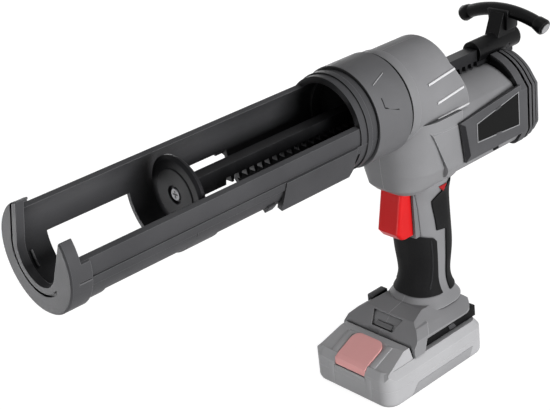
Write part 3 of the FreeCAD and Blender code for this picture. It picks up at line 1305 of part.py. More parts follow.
def battery_deck():
    # The raised front of the pack, sloping down to the nose and to both sides.
    low = s.battery_case_height
    half_length = s.battery_length / 2
    half_width = s.battery_width / 2
    side = [(s.deck_rear_ahead, low), (s.deck_rear_ahead, s.deck_height), (s.deck_break_ahead,
                                                                           s.deck_height),
            (s.deck_nose_ahead, s.deck_nose_height), (half_length, s.battery_bevel_height - s.battery_wall),
            (half_length, low)]
    half = [(-half_width, low), (-half_width, s.battery_bevel_height), (-s.deck_foot_half_width,
                                                                        s.battery_top_height),
            (-s.deck_half_width, s.deck_height)]
    lean = half + [(-u, v) for u, v in reversed(half)]
    deck = prism("y", side, -half_width, half_width).common(prism("x", lean, s.deck_rear_ahead,
                                                                  half_length))
    return deck.common(prism("z", battery_plan(0), low, s.deck_height + s.cut_overrun,
                             [s.battery_corner] * 4))


def battery_rail():
    # The T rail that slides into the shoe, slotted for the terminal blades.
    top = s.battery_top_height
    neck_top = top + s.rail_neck_height
    neck = block_between(vector(-s.rail_rear_behind, -s.rail_neck_half_width, top - s.battery_roof / 2),
                         vector(s.deck_rear_ahead + s.cut_overrun, s.rail_neck_half_width, neck_top))
    head = block_between(vector(-s.rail_rear_behind, -s.rail_head_half_width, neck_top),
                         vector(s.rail_front_ahead, s.rail_head_half_width, rail_top))
    rail = neck.fuse(head)
    for way in (-1, 0, 1):
        side = way * s.blade_pitch
        rail = rail.cut(block_between(
            vector(-s.rail_rear_behind - s.cut_overrun, side - s.blade_slot / 2, top + s.rail_gap),
            vector(-s.blade_behind + s.blade_length + s.cut_overrun, side + s.blade_slot / 2,
                   rail_top + s.cut_overrun)))
    return rail


def make_battery_upper_case():
    low = s.battery_case_height
    top = s.battery_top_height
    corner = s.battery_corner
    wires = []
    for level, inset in ((low, 0), (s.battery_bevel_height, 0), (top, s.battery_top_inset)):
        wires.append(outline(battery_plan(inset), [corner - inset] * 4, lambda p: vector(p.x, p.y, level)))
    body = Part.makeLoft(wires, True, True).fuse([battery_deck(), battery_rail()])
    body = body.cut(prism("z", battery_plan(s.battery_wall), low - s.cut_overrun, top - s.battery_roof,
                          [s.hollow_corner] * 4))
    shape_node("battery_upper_case", one_solid(body.cut([button_pocket(), spring_well()])))
    button = prism("y", button_outline(), -s.button_half_width, s.button_half_width)
    shape_node("battery_button", one_solid(button.common(button_plan(0))))


def make_battery_inside():
    cells = []
    for i in range(cell_count):
        x = "cell_pitch * %g" % (i - (cell_count - 1) / 2)
        cells.append(rod("cell_%d" % (i + 1), "cell_radius", "cell_length", x, "-cell_length / 2",
                         "battery_wall + cell_radius", along_y))
    node(group("battery_cells", cells), "battery_cells")
    node(box("cell_board", "battery_length / 2", "cell_length", "cell_board_thickness",
             "-battery_length / 2 + battery_corner", "-cell_length / 2", "battery_wall + 2 * cell_radius"),
         "cell_board")
    seat = "battery_top_height - spring_seat_depth"
    length = "deck_height + button_proud - button_depth - battery_top_height + spring_seat_depth"
    coil = rod("spring_outside", "spring_radius", length, "spring_ahead", "0", seat)
    inside = rod("spring_inside", "spring_bore", length + " + 2 * cut_overrun", "spring_ahead", "0",
                 seat + " - cut_overrun")
    node(cut("battery_spring", coil, inside), "battery_spring")


def make_shoe():
    # A rail block under the foot with a T slot that is open to the front.
    floor = "battery_top_height + rail_gap"
    height = "foot_floor_height - battery_top_height - rail_gap"
    block = box("shoe_block", "shoe_front_ahead + shoe_rear_behind", "2 * shoe_half_width", height,
                "-shoe_rear_behind",
                "-shoe_half_width", floor)
    slot_length = "shoe_front_ahead + rail_rear_behind + rail_gap + cut_overrun"
    neck = box("shoe_neck_slot", slot_length, "2 * (rail_neck_half_width + rail_gap)",
               "rail_neck_height + cut_overrun",
               "-rail_rear_behind - rail_gap", "-rail_neck_half_width - rail_gap", floor + " - cut_overrun")
    head = box("shoe_head_slot", slot_length, "2 * (rail_head_half_width + rail_gap)",
               "rail_head_height + 2 * rail_gap",
               "-rail_rear_behind - rail_gap", "-rail_head_half_width - rail_gap",
               "battery_top_height + rail_neck_height - rail_gap")
    slots = [neck, head]
    for i, side in enumerate(("-blade_pitch", "0", "blade_pitch")):
        slots.append(box("shoe_blade_slot_%d" % (i + 1), "blade_length", "blade_thickness", height,
                         "-blade_behind",
                         side + " - blade_thickness / 2", floor))
    node(cut("battery_shoe", block, fuse("shoe_slots", slots)), "battery_shoe")
    blade_base = "battery_top_height + 2 * rail_gap + rail_neck_height / 2"
    blade_height = "foot_floor_height + wall_thickness - (%s)" % blade_base
    blades = []
    for i, side in enumerate(("-blade_pitch", "0", "blade_pitch")):
        blades.append(box("blade_%d" % (i + 1), "blade_length", "blade_thickness", blade_height,
                          "-blade_behind", side + " - blade_thickness / 2", blade_base))
    node(group("terminal_blades", blades), "terminal_blades")
    node(box("terminal_block", "blade_length + 2 * wall_thickness", "2 * (blade_pitch + wall_thickness)",
             "terminal_block_height", "-blade_behind - wall_thickness", "-blade_pitch - wall_thickness",
             "foot_floor_height + wall_thickness"), "terminal_block")
    node(box("control_board", "control_board_length", "foot_half_width", "control_board_thickness",
             "-blade_behind + blade_length + 2 * wall_thickness", "-foot_half_width / 2",
             "foot_floor_height + wall_thickness"), "control_board")


def make_housing_screws():
    screws = []
    for x, height, half in screw_places():
        head_start = -half + s.screw_sink
        head = bar_y(s.screw_head_reach, head_start, head_start + s.screw_head_length, x, height)
        shank = bar_y(s.screw_shank_radius, head_start, half - s.wall_thickness - s.fit_gap, x, height)
        screws.append(head.fuse(shank))
    shape_node("housing_screws", Part.makeCompound(screws))


make_housing()
make_lamp_lens()
make_soft_grips()
make_rear_cover()
make_badges()
make_spigot()
make_collar()
make_cradle()
make_front_cap()
make_rack()
make_pusher()
make_pull_handle()
make_rack_guide()
make_gear_train()
make_gearbox()
make_motor()
make_trigger()
make_trigger_bezel()
make_switch()
make_battery_lower_case()
make_battery_upper_case()
make_battery_inside()
make_shoe()
make_housing_screws()

doc.recompute()
for item in doc.Objects:
    if "Invalid" in item.State or "Error" in item.State:
        raise ValueError("%s failed: %s" % (item.Label, item.State))
for item in nodes:
    if item.Shape.isNull() or not item.Shape.isValid():
        raise ValueError("%s has no valid shape" % item.Label)

os.makedirs("parts", exist_ok=True)
for item in nodes:
    item.Shape.exportStep(os.path.join("parts", item.Label + ".step"))
print("%d nodes written" % len(nodes))
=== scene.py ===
import bpy
import math
from mathutils import Matrix, Vector


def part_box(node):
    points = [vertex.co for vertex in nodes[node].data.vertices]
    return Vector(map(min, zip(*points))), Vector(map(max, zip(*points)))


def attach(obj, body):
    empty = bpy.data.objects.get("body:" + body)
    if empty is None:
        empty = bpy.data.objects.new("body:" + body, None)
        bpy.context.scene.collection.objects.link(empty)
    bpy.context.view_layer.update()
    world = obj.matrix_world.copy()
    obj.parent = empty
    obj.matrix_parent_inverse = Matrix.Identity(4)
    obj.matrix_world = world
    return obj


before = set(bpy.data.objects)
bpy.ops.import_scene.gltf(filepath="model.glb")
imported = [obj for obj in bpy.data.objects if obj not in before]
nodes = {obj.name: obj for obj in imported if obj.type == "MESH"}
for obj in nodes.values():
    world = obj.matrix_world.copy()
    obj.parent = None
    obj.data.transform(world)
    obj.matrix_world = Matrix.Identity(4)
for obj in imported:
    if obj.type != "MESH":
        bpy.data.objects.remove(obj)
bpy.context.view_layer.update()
mm = 0.001
near = 0.05  # a corner within this many millimetres of a place is at that place
alike = 0.9  # a face whose normal agrees this far with a direction looks that way
sides = (("Left", 1), ("Right", -1))  # with the way to each along y
print("frame loaded:", len(nodes), "nodes")


# lowest and highest corner of a solid in millimetres
def span(node):
    low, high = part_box(node)
    return low / mm, high / mm


collarLow, collarHigh = span("collar")
coverHigh = span("rear_cover")[1]
packHigh = span("battery_lower_case")[1]
axisHeight = (collarLow.z + collarHigh.z) / 2
collarRadius = collarHigh.y
barrelRadius = span("left_housing")[1].z - axisHeight


# colours are written as sRGB hex and used as linear light
def linear(colour):
    parts = [int(colour[i:i + 2], 16) / 255 for i in (1, 3, 5)]
    return [p / 12.92 if p <= 0.04045 else ((p + 0.055) / 1.055) ** 2.4 for p in parts] + [1]


# adds a node: names with a capital are sockets, the others are the node's own settings
def addNode(tree, kind, settings, links=None):
    node = tree.nodes.new(kind)
    for name, value in settings.items():
        if name[0].isupper():
            node.inputs[name].default_value = value
        else:
            setattr(node, name, value)
    for name, source in (links or {}).items():
        tree.links.new(source, node.inputs[name])
    return node


# a material with an empty node tree
def newMaterial(name):
    material = bpy.data.materials.new(name)
    material.use_nodes = True
    material.node_tree.nodes.clear()
    return material, material.node_tree


# a Mix node's colour sockets go by number, because other sockets share their names
mixA, mixB, mixed = 6, 7, 2


# moulded pieces: a fine spark-eroded grain, slightly uneven tone and gloss, edges lighter from rubbing
# and a painted highlight, narrow gaps darkened with painted shade
def mouldedPlastic(name, look):
    material, tree = newMaterial(name)
    place = addNode(tree, "ShaderNodeTexCoord", {}).outputs["Object"]
    grain = addNode(tree, "ShaderNodeTexNoise", {"Scale": 1 / (look["grainMm"] * mm), "Detail": 3.0,
                                                 "Roughness": 0.6}, {"Vector": place})
    clouds = addNode(tree, "ShaderNodeTexNoise", {"Scale": 1 / (look["cloudMm"] * mm), "Detail": 4.0},
                     {"Vector": place})
    smears = addNode(tree, "ShaderNodeTexNoise", {"Scale": 1 / (look["smearMm"] * mm), "Detail": 5.0,
                                                  "Distortion": 0.6}, {"Vector": place})
    tone = addNode(tree, "ShaderNodeMapRange", {"From Min": 0.3, "From Max": 0.7},
                   {"Value": clouds.outputs["Fac"]})
    body = addNode(tree, "ShaderNodeMix", {"data_type": "RGBA"}, {"Factor": tone.outputs["Result"]})
    body.inputs[mixA].default_value = linear(look["shade"])
    body.inputs[mixB].default_value = linear(look["colour"])
    soft = addNode(tree, "ShaderNodeBevel", {"samples": 6, "Radius": look["edgeMm"] * mm})
    flat = addNode(tree, "ShaderNodeNewGeometry", {})
    facing = addNode(tree, "ShaderNodeVectorMath", {"operation": "DOT_PRODUCT"})
    tree.links.new(soft.outputs["Normal"], facing.inputs[0])
    tree.links.new(flat.outputs["Normal"], facing.inputs[1])
    # edges lighter: partly rubbed wear, partly a painted highlight along them
    edge = addNode(tree, "ShaderNodeMapRange", {"From Min": 0.995, "From Max": 0.86,
                                                "To Max": look["edgeShare"]},
                   {"Value": facing.outputs["Value"]})
    rubbedAndHighlit = addNode(tree, "ShaderNodeMix", {"data_type": "RGBA"}, {"Factor": edge.outputs["Result"]})
    tree.links.new(body.outputs[mixed], rubbedAndHighlit.inputs[mixA])
    rubbedAndHighlit.inputs[mixB].default_value = linear(look["edge"])
    # ambient occlusion darkens narrow gaps and hollows towards the gap colour: painted shade
    hollow = addNode(tree, "ShaderNodeAmbientOcclusion", {"samples": 6, "Distance": look["creviceMm"] * mm})
    clear = addNode(tree, "ShaderNodeMapRange", {"From Min": 0.35, "From Max": 0.8,
                                                 "To Min": 1 - look["creviceShare"]},
                    {"Value": hollow.outputs["AO"]})
    shadedGaps = addNode(tree, "ShaderNodeMix", {"data_type": "RGBA"}, {"Factor": clear.outputs["Result"]})
    shadedGaps.inputs[mixA].default_value = linear(look["gapShade"])
    tree.links.new(rubbedAndHighlit.outputs[mixed], shadedGaps.inputs[mixB])
    gloss = addNode(tree, "ShaderNodeMapRange", {"From Min": 0.3, "From Max": 0.7,
                                                 "To Min": look["rough"] - look["roughSpan"],
                                                 "To Max": look["rough"] + look["roughSpan"]},
                    {"Value": smears.outputs["Fac"]})
    bump = addNode(tree, "ShaderNodeBump", {"Strength": look["grainShare"], "Distance": look["grainMm"] * mm},
                   {"Height": grain.outputs["Fac"], "Normal": soft.outputs["Normal"]})
    shader = addNode(tree, "ShaderNodeBsdfPrincipled",
                     {"IOR": look["ior"], "Specular IOR Level": look["gloss"]},
                     {"Base Color": shadedGaps.outputs[mixed], "Roughness": gloss.outputs["Result"],
                      "Normal": bump.outputs["Normal"]})
    addNode(tree, "ShaderNodeOutputMaterial", {}, {"Surface": shader.outputs["BSDF"]})
    return material


# turned and stamped metal: fine tool marks, and clouds that vary its tone and gloss
def machinedSteel(name, look):
    material, tree = newMaterial(name)
    place = addNode(tree, "ShaderNodeTexCoord", {}).outputs["Object"]
    marks = addNode(tree, "ShaderNodeTexNoise", {"Scale": 1 / (look["markMm"] * mm), "Detail": 3.0},
                    {"Vector": place})
    clouds = addNode(tree, "ShaderNodeTexNoise", {"Scale": 1 / (look["cloudMm"] * mm), "Detail": 4.0},
                     {"Vector": place})
    body = addNode(tree, "ShaderNodeMix", {"data_type": "RGBA"}, {"Factor": clouds.outputs["Fac"]})
    body.inputs[mixA].default_value = linear(look["shade"])
    body.inputs[mixB].default_value = linear(look["colour"])
    gloss = addNode(tree, "ShaderNodeMapRange", {"To Min": look["rough"] - look["roughSpan"],
                                                 "To Max": look["rough"] + look["roughSpan"]},
                    {"Value": clouds.outputs["Fac"]})
    soft = addNode(tree, "ShaderNodeBevel", {"samples": 6, "Radius": look["edgeMm"] * mm})
    bump = addNode(tree, "ShaderNodeBump", {"Strength": look["markShare"], "Distance": look["markMm"] * mm},
                   {"Height": marks.outputs["Fac"], "Normal": soft.outputs["Normal"]})
    shader = addNode(tree, "ShaderNodeBsdfPrincipled", {"Metallic": look["metal"]},
                     {"Base Color": body.outputs[mixed], "Roughness": gloss.outputs["Result"],
                      "Normal": bump.outputs["Normal"]})
    addNode(tree, "ShaderNodeOutputMaterial", {}, {"Surface": shader.outputs["BSDF"]})
    return material


# the grain and the metals' tool marks are drawn coarser than they are, so that they show
# creviceMm, creviceShare and the gap colour set how far and how strongly gaps get painted shade
plasticBase = {"grainMm": 0.9, "grainShare": 0.12, "cloudMm": 45, "smearMm": 14, "rough": 0.48,
               "roughSpan": 0.05, "edgeMm": 0.7, "edgeShare": 0.5, "ior": 1.5, "gloss": 0.07,
               "creviceMm": 4, "creviceShare": 0.75, "gapShade": "#060606"}
plastics = {
    # glass-filled nylon shell, matt light grey, its corners paler from rubbing and a painted highlight
    "greyNylonShell": {"colour": "#8A8A8C", "shade": "#808082", "edge": "#C6C6C8"},
    # the same nylon drawn near white along the mould's sharp steps: a painted highlight
    "ridgeHighlightNylon": {"colour": "#DADADC", "shade": "#CECED0", "edge": "#F0F0F2", "rough": 0.4},
    # darker nylon on the motor cover, with deep painted shade in its vents
    "darkGreyNylonCover": {"colour": "#565658", "shade": "#4C4C4E", "edge": "#8E8E90", "creviceMm": 9,
                           "creviceShare": 0.95},
    # dull and nearly black: the pusher plate and the grip seams, and painted shade on the cover's bevels and
    # a collar mark
    "blackNylonAndBevelShade": {"colour": "#222224", "shade": "#1C1C1E", "edge": "#505052"},
    # black ABS of the bare name plate, deep black with a faint sheen
    "blackGlossAbs": {"colour": "#030303", "shade": "#020202", "edge": "#1A1A1A", "rough": 0.42,
                      "gloss": 0.08},
    # overmoulded rubber, near black, dull with a coarser grain
    "blackSoftRubber": {"colour": "#121213", "shade": "#0C0C0D", "edge": "#2E2E30", "rough": 0.68,
                        "grainMm": 1.3, "grainShare": 0.25, "gloss": 0.12},
    # satin red ABS of the trigger
    "redSatinAbs": {"colour": "#D42022", "shade": "#CA1C1E", "edge": "#E04442", "rough": 0.36, "gloss": 0.14,
                    "creviceShare": 0.25},
    # the same red in the small lock button, duller
    "darkRedAbs": {"colour": "#A01A1E", "shade": "#941619", "edge": "#B83A3A", "gloss": 0.15},
    # black glass-filled nylon of the cradle, satin with grey edges, darkened inside its half-pipe by painted
    # shade
    "blackNylonCradle": {"colour": "#4A4A4C", "shade": "#424244", "edge": "#7C7C7E", "creviceMm": 40,
                         "creviceShare": 0.8},
    # the collar's nylon, in tone between the shell and the cradle
    "greyNylonCollar": {"colour": "#6A6A6C", "shade": "#606062", "edge": "#949496"},
    # the cap's harder grade, a shade lighter than the cradle
    "greyNylonCap": {"colour": "#505052", "shade": "#48484A", "edge": "#8A8A8C"},
    # surround behind the trigger, the shell's grey, with painted shade in its gap
    "greyBezel": {"colour": "#7C7C7E", "shade": "#727274", "edge": "#9A9A9C", "creviceMm": 8,
                  "creviceShare": 0.95},
    # black nylon of the pull handle, smooth from the mould, with grey edges
    "blackNylonHandle": {"colour": "#101011", "shade": "#0B0B0C", "edge": "#464648", "rough": 0.3,
                         "gloss": 0.1},
    # black nylon of inner pieces, dark all over; on the strips drawn in gaps and recesses it is painted shade
    "blackNylonAndGapShade": {"colour": "#101011", "shade": "#0B0B0C", "edge": "#262628"},
    # thin mould edges that catch the light on the cover
    "greyRim": {"colour": "#98989A", "shade": "#8C8C8E", "edge": "#B4B4B6"},
    # cut end of the handle's bar, worn grey
    "greyBarEnd": {"colour": "#A0A0A2", "shade": "#8C8C8E", "edge": "#C8C8CA"},
    # pale grey ABS of the pack's case, matt with bright edges
    "paleGreyAbs": {"colour": "#B2B2B4", "shade": "#AAAAAC", "edge": "#DCDCDE", "rough": 0.5,
                    "creviceShare": 0.4},
    # the same ABS in the field on the pack's sides, slightly darker
    "greyFieldAbs": {"colour": "#9A9A9C", "shade": "#929294", "edge": "#B4B4B6", "rough": 0.5},
    # pale pink ABS of the pack's button, matt
    "pinkAbs": {"colour": "#FABAB8", "shade": "#F6B2B0", "edge": "#FED0CE", "rough": 0.5,
                "creviceShare": 0.3},
    # smoky lens of the work lamp
    "greyLampLens": {"colour": "#58585A", "shade": "#505052", "edge": "#8E8E90", "rough": 0.2, "gloss": 0.5},
    # solder-masked board
    "greenBoard": {"colour": "#1F5A36", "shade": "#184B2C", "edge": "#6B8A5A", "rough": 0.4},
    # printed sleeve of the cells
    "blueCellSleeve": {"colour": "#3E6A9E", "shade": "#365E8E", "edge": "#86A6CC", "rough": 0.35},
}
metals = {
    # black oxide on the toothed rod: dark with a dull gleam
    "blackOxideSteel": {"colour": "#2B2B2D", "shade": "#1C1C1E", "rough": 0.42, "roughSpan": 0.06,
                        "metal": 0.75, "markMm": 0.8, "markShare": 0.12, "cloudMm": 12, "edgeMm": 0.35},
    # bright machined steel of gears, shafts and screws
    "machinedSteel": {"colour": "#C4C4C6", "shade": "#9C9C9E", "rough": 0.34, "roughSpan": 0.08,
                      "metal": 1.0, "markMm": 0.6, "markShare": 0.1, "cloudMm": 8, "edgeMm": 0.25},
    # zinc-plated screw gone dull
    "dullScrewSteel": {"colour": "#545456", "shade": "#3E3E40", "rough": 0.45, "roughSpan": 0.06,
                       "metal": 0.7, "markMm": 0.6, "markShare": 0.1, "cloudMm": 6, "edgeMm": 0.25},
    # stamped brass contacts
    "stampedBrass": {"colour": "#C9A24E", "shade": "#A98438", "rough": 0.3, "roughSpan": 0.06,
                     "metal": 1.0, "markMm": 0.6, "markShare": 0.08, "cloudMm": 6, "edgeMm": 0.2},
}
finishes = {name: mouldedPlastic(name, {**plasticBase, **look}) for name, look in plastics.items()}
finishes.update({name: machinedSteel(name, look) for name, look in metals.items()})

# what each solid wears; those that aren't named are of machined steel
wearing = {
    "greyNylonShell": ["left_housing", "right_housing"],
    "darkGreyNylonCover": ["rear_cover"],
    "blackGlossAbs": ["left_badge", "right_badge"],
    "blackSoftRubber": ["front_grip", "rear_grip"],
    "redSatinAbs": ["trigger"],
    "darkRedAbs": ["lock_button"],
    "blackNylonCradle": ["cradle"],
    "blackNylonAndBevelShade": ["pusher_plate"],
    "greyNylonCap": ["front_cap"],
    "greyBezel": ["trigger_bezel"],
    "greyNylonCollar": ["collar"],
    "blackNylonHandle": ["pull_handle"],
    "blackNylonAndGapShade": ["battery_shoe", "rack_guide", "gearbox_cover", "motor_fan", "trigger_switch",
                         "terminal_block", "nose_spigot"],
    "blackOxideSteel": ["rack", "pusher_hub", "handle_pin"],
    "dullScrewSteel": ["pusher_screw"],
    "paleGreyAbs": ["battery_lower_case", "battery_upper_case"],
    "pinkAbs": ["battery_button"],
    "greyLampLens": ["lamp_lens"],
    "greenBoard": ["control_board", "cell_board"],
    "blueCellSleeve": ["battery_cells"],
    "stampedBrass": ["terminal_blades"],
}
worn = {node: name for name, group in wearing.items() for node in group}
for name, node in nodes.items():
    node.data.materials.clear()
    node.data.materials.append(finishes[worn.get(name, "machinedSteel")])
print("finishes:", len(finishes))


# a bevel, as wide as told in mm, on the edges that fold more than an angle in degrees
def bevelEdges(piece, name, width, look):
    bevel = piece.modifiers.new(name, "BEVEL")
    bevel.width = width * mm
    bevel.segments = look["segments"]
    bevel.limit_method = "ANGLE"
    bevel.angle_limit = math.radians(look["fold"])


# mould radii on the edges of handled pieces, in millimetres
mouldEdges = {"radii": {"trigger": 2.4, "battery_lower_case": 1.0, "battery_upper_case": 1.0,
                        "battery_button": 1.2}, "segments": 3, "fold": 25}
for name, radius in mouldEdges["radii"].items():
    bevelEdges(nodes[name], "mouldRadius", radius, mouldEdges)


# selects in edit mode the faces or corners that pass a test on their place and normal, in millimetres
def pick(piece, kind, test):
    bpy.ops.object.mode_set(mode="OBJECT")
    mesh = piece.data
    for group in (mesh.vertices, mesh.edges, mesh.polygons):
        group.foreach_set("select", [False] * len(group))
    if kind == "FACE":
        for face in mesh.polygons:
            face.select = test(face.center / mm, face.normal)
    else:
        for corner in mesh.vertices:
            corner.select = test(corner.co / mm, corner.normal)
    bpy.context.tool_settings.mesh_select_mode = (kind == "VERT", False, kind == "FACE")
    bpy.ops.object.mode_set(mode="EDIT")


# names the primitive just added and puts its size and place into its mesh
def settle(name, scale=(1, 1, 1)):
    piece = bpy.context.object
    piece.name = name
    piece.scale = scale
    bpy.ops.object.transform_apply(location=True, rotation=True, scale=True)
    return piece


# small radii on the new pieces: angles in degrees
softEdges = {"segments": 2, "fold": 40, "smooth": 35}


# rounds the edges, gives the finish and lets the piece ride on a body
def finishPiece(piece, look, body):
    bpy.ops.object.mode_set(mode="EDIT")
    bpy.ops.mesh.select_all(action="SELECT")
    bpy.ops.mesh.normals_make_consistent(inside=False)
    bpy.ops.object.mode_set(mode="OBJECT")
    if look.get("round"):
        bevelEdges(piece, "softEdges", look["round"], softEdges)
        bpy.ops.object.modifier_apply(modifier="softEdges")
    bpy.ops.object.shade_smooth_by_angle(angle=math.radians(softEdges["smooth"]))
    piece.data.materials.clear()
    piece.data.materials.append(finishes[look["finish"]])
    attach(piece, body)


# a bar that lies on a cylinder along x: ends along x, radii, angles from +y, all in mm and degrees
def spunBar(name, ends, radii, angles, steps, height=axisHeight):
    low = math.radians(angles[0])
    middle = (radii[0] + radii[1]) / 2
    bpy.ops.object.select_all(action="DESELECT")
    bpy.ops.mesh.primitive_plane_add(
        size=1, rotation=(low, 0, 0),
        location=((ends[0] + ends[1]) / 2 * mm, middle * math.cos(low) * mm,
                  (height + middle * math.sin(low)) * mm))
    piece = settle(name, ((ends[1] - ends[0]) * mm, (radii[1] - radii[0]) * mm, 1))
    bpy.ops.object.mode_set(mode="EDIT")
    bpy.ops.mesh.select_all(action="SELECT")
    bpy.ops.mesh.spin(steps=steps, angle=math.radians(angles[0] - angles[1]), center=(0, 0, height * mm),
                      axis=(1, 0, 0))
    bpy.ops.object.mode_set(mode="OBJECT")
    return piece


# a narrow bar askew on that cylinder: its course is the front end along x, the angle there, the rear end
# and the angle there
def askewBar(name, course, radius, look):
    front, frontAngle, rear, rearAngle = course
    half = math.degrees(look["width"] / 2 / radius)
    piece = spunBar(name, (rear, front), (radius - look["sunk"], radius + look["proud"]),
                    (frontAngle - half, frontAngle + half), look["steps"])
    pick(piece, "VERT", lambda place, normal: place.x < rear + near)
    start, end = math.radians(frontAngle), math.radians(rearAngle)
    bpy.ops.transform.translate(value=(0, radius * (math.cos(end) - math.cos(start)) * mm,
                                       radius * (math.sin(end) - math.sin(start)) * mm))
    bpy.ops.object.mode_set(mode="OBJECT")
    return piece


# a plate with four corners (x, y, z) in mm, as thick across y as told, from a box whose corners are moved
def cornerPlate(name, corners, thick):
    half = 1  # half width of the box at the start, along x and z
    bpy.ops.object.select_all(action="DESELECT")
    bpy.ops.mesh.primitive_cube_add(size=1)
    piece = settle(name, (2 * half * mm, thick * mm, 2 * half * mm))
    starts = ((half, half), (-half, half), (-half, -half), (half, -half))
    for (startX, startZ), (x, y, z) in zip(starts, corners):
        pick(piece, "VERT", lambda place, normal: (abs(place.x - startX) < near
                                                   and abs(place.z - startZ) < near))
        bpy.ops.transform.translate(value=((x - startX) * mm, y * mm, (z - startZ) * mm))
    bpy.ops.object.mode_set(mode="OBJECT")
    return piece


# a box between two corners in mm
def boxBetween(name, low, high):
    low, high = Vector(low), Vector(high)
    bpy.ops.object.select_all(action="DESELECT")
    bpy.ops.mesh.primitive_cube_add(size=1, location=(low + high) / 2 * mm)
    return settle(name, (high - low) * mm)


# gives a sheet its thickness, half to each side
def thicken(piece, thick):
    sheet = piece.modifiers.new("thick", "SOLIDIFY")
    sheet.thickness = thick * mm
    sheet.offset = 0
    bpy.ops.object.modifier_apply(modifier="thick")


# bright lip round the front of the barrel, and a black band before the collar: painted shadow in the gap
barrelLip = {"width": 7.6, "proud": 0.8, "sunk": 0.8, "angles": (-32, 212), "steps": 72, "round": 0.35,
             "finish": "greyNylonShell", "slot": "housing_plastic"}
collarGapShadow = {"clear": 0.2, "width": 2.2, "proud": 0.12, "finish": "blackNylonAndGapShade", "slot": "dark_plastic"}
gapEnd = collarLow.x - collarGapShadow["clear"]
gapStart = gapEnd - collarGapShadow["width"]
lipRoot = barrelRadius - barrelLip["sunk"]
lip = spunBar("barrelLip", (gapStart - barrelLip["width"], gapStart),
              (lipRoot, barrelRadius + barrelLip["proud"]), barrelLip["angles"], barrelLip["steps"])
finishPiece(lip, barrelLip, "frame")
gap = spunBar("collarGapShadow", (gapStart, gapEnd), (lipRoot, barrelRadius + collarGapShadow["proud"]),
              barrelLip["angles"], barrelLip["steps"])
finishPiece(gap, collarGapShadow, "frame")

# three steps on each side of the barrel, near white as a painted highlight on their sharp edges
barrelRidges = {"courses": [(-14.3, 20, -42.3, 25), (-20.2, -5, -46.9, 0.4), (-24, -30, -56, -28)],
                "width": 1.7, "proud": 0.8, "sunk": 0.9, "steps": 3, "round": 0.4,
                "finish": "ridgeHighlightNylon", "slot": "housing_plastic"}
for side, way in sides:
    for number, (front, frontAngle, rear, rearAngle) in enumerate(barrelRidges["courses"], 1):
        if way < 0:
            frontAngle, rearAngle = 180 - frontAngle, 180 - rearAngle
        ridge = askewBar("barrelRidge%s%d" % (side, number), (front, frontAngle, rear, rearAngle),
                         barrelRadius, barrelRidges)
        finishPiece(ridge, barrelRidges, "frame")

# marks on the collar: a raised pointer, pale as a painted highlight, and an engraved corner drawn as thin
# dark lines of painted shade
collarPointer = {"course": (30.4, 45, 16.7, 53.4), "width": 0.9, "proud": 0.5, "sunk": 0.6, "steps": 3,
                 "round": 0.25, "finish": "greyBarEnd", "slot": "dark_plastic"}
pointer = askewBar("collarPointer", collarPointer["course"], collarRadius, collarPointer)
finishPiece(pointer, collarPointer, "ring_nut")
cornerRise = {"ends": (29.0, 29.9), "angles": (18.3, 29.3), "proud": 0.06, "sunk": 0.6, "steps": 8,
              "finish": "blackNylonAndBevelShade", "slot": "dark_plastic"}
rise = spunBar("collarCornerRise", cornerRise["ends"],
               (collarRadius - cornerRise["sunk"], collarRadius + cornerRise["proud"]),
               cornerRise["angles"], cornerRise["steps"])
finishPiece(rise, cornerRise, "ring_nut")
cornerRun = {"course": (29.5, 18.3, 17.8, 10.6), "width": 0.9, "proud": 0.06, "sunk": 0.6, "steps": 3,
             "finish": "blackNylonAndGapShade", "slot": "dark_plastic"}
run = askewBar("collarCornerRun", cornerRun["course"], collarRadius, cornerRun)
finishPiece(run, cornerRun, "ring_nut")
print("barrel and collar pieces made")

# cradle: moulding seam, locking nub beside the keel and a stop rib inside by the cap
cradleBase = {"steps": 10, "round": 0.3, "finish": "blackNylonCradle", "slot": "dark_plastic"}
cradleBits = {"cradleSeam": {"ends": (184.6, 185.3), "radii": (31.2, 32.0), "angles": (-31, -17)},
              "cradleNub": {"ends": (121.5, 127.5), "radii": (30.5, 33.6), "angles": (-52, -40)},
              "cradleStop": {"ends": (260.6, 261.8), "radii": (27.0, 28.9), "angles": (196, 218),
                             "finish": "greyRim"}}
for name, bitLook in cradleBits.items():
    look = {**cradleBase, **bitLook}
    bit = spunBar(name, look["ends"], look["radii"], look["angles"], look["steps"])
    finishPiece(bit, look, "holder")

# cross recess in the pusher's screw, drawn as black bars of painted shade
pusherCross = {"reach": 2.3, "width": 0.9, "proud": 0.06, "deep": 0.6, "finish": "blackNylonAndGapShade",
               "slot": "dark_steel"}
screwFront = span("pusher_screw")[1].x
for name, halfY, halfZ in (("crossFlat", pusherCross["reach"], pusherCross["width"] / 2),
                           ("crossUpright", pusherCross["width"] / 2, pusherCross["reach"])):
    bar = boxBetween(name, (screwFront - pusherCross["deep"], -halfY, axisHeight - halfZ),
                     (screwFront + pusherCross["proud"], halfY, axisHeight + halfZ))
    finishPiece(bar, pusherCross, "push_rod")

# the pull handle's bar droops to both sides: the place of its ends, its lean there in degrees, and how many
# corners a round piece on it has
handleBar = {"behind": -132.6, "half": 36.9, "height": 222.9, "lean": 26.2, "corners": 40}


# the way out of the bar's end on one side
def barOutward(way):
    lean = math.radians(handleBar["lean"])
    return Vector((0, way * math.cos(lean), -math.sin(lean)))


# a round piece along the bar, its middle as far inside the bar's end as told
def barRound(name, way, inside, look):
    end = Vector((handleBar["behind"], way * handleBar["half"], handleBar["height"]))
    bpy.ops.object.select_all(action="DESELECT")
    bpy.ops.mesh.primitive_cylinder_add(
        vertices=handleBar["corners"], radius=look["radius"] * mm, depth=look["depth"] * mm,
        location=(end - barOutward(way) * inside) * mm,
        rotation=(-way * math.radians(90 + handleBar["lean"]), 0, 0))
    return settle(name)


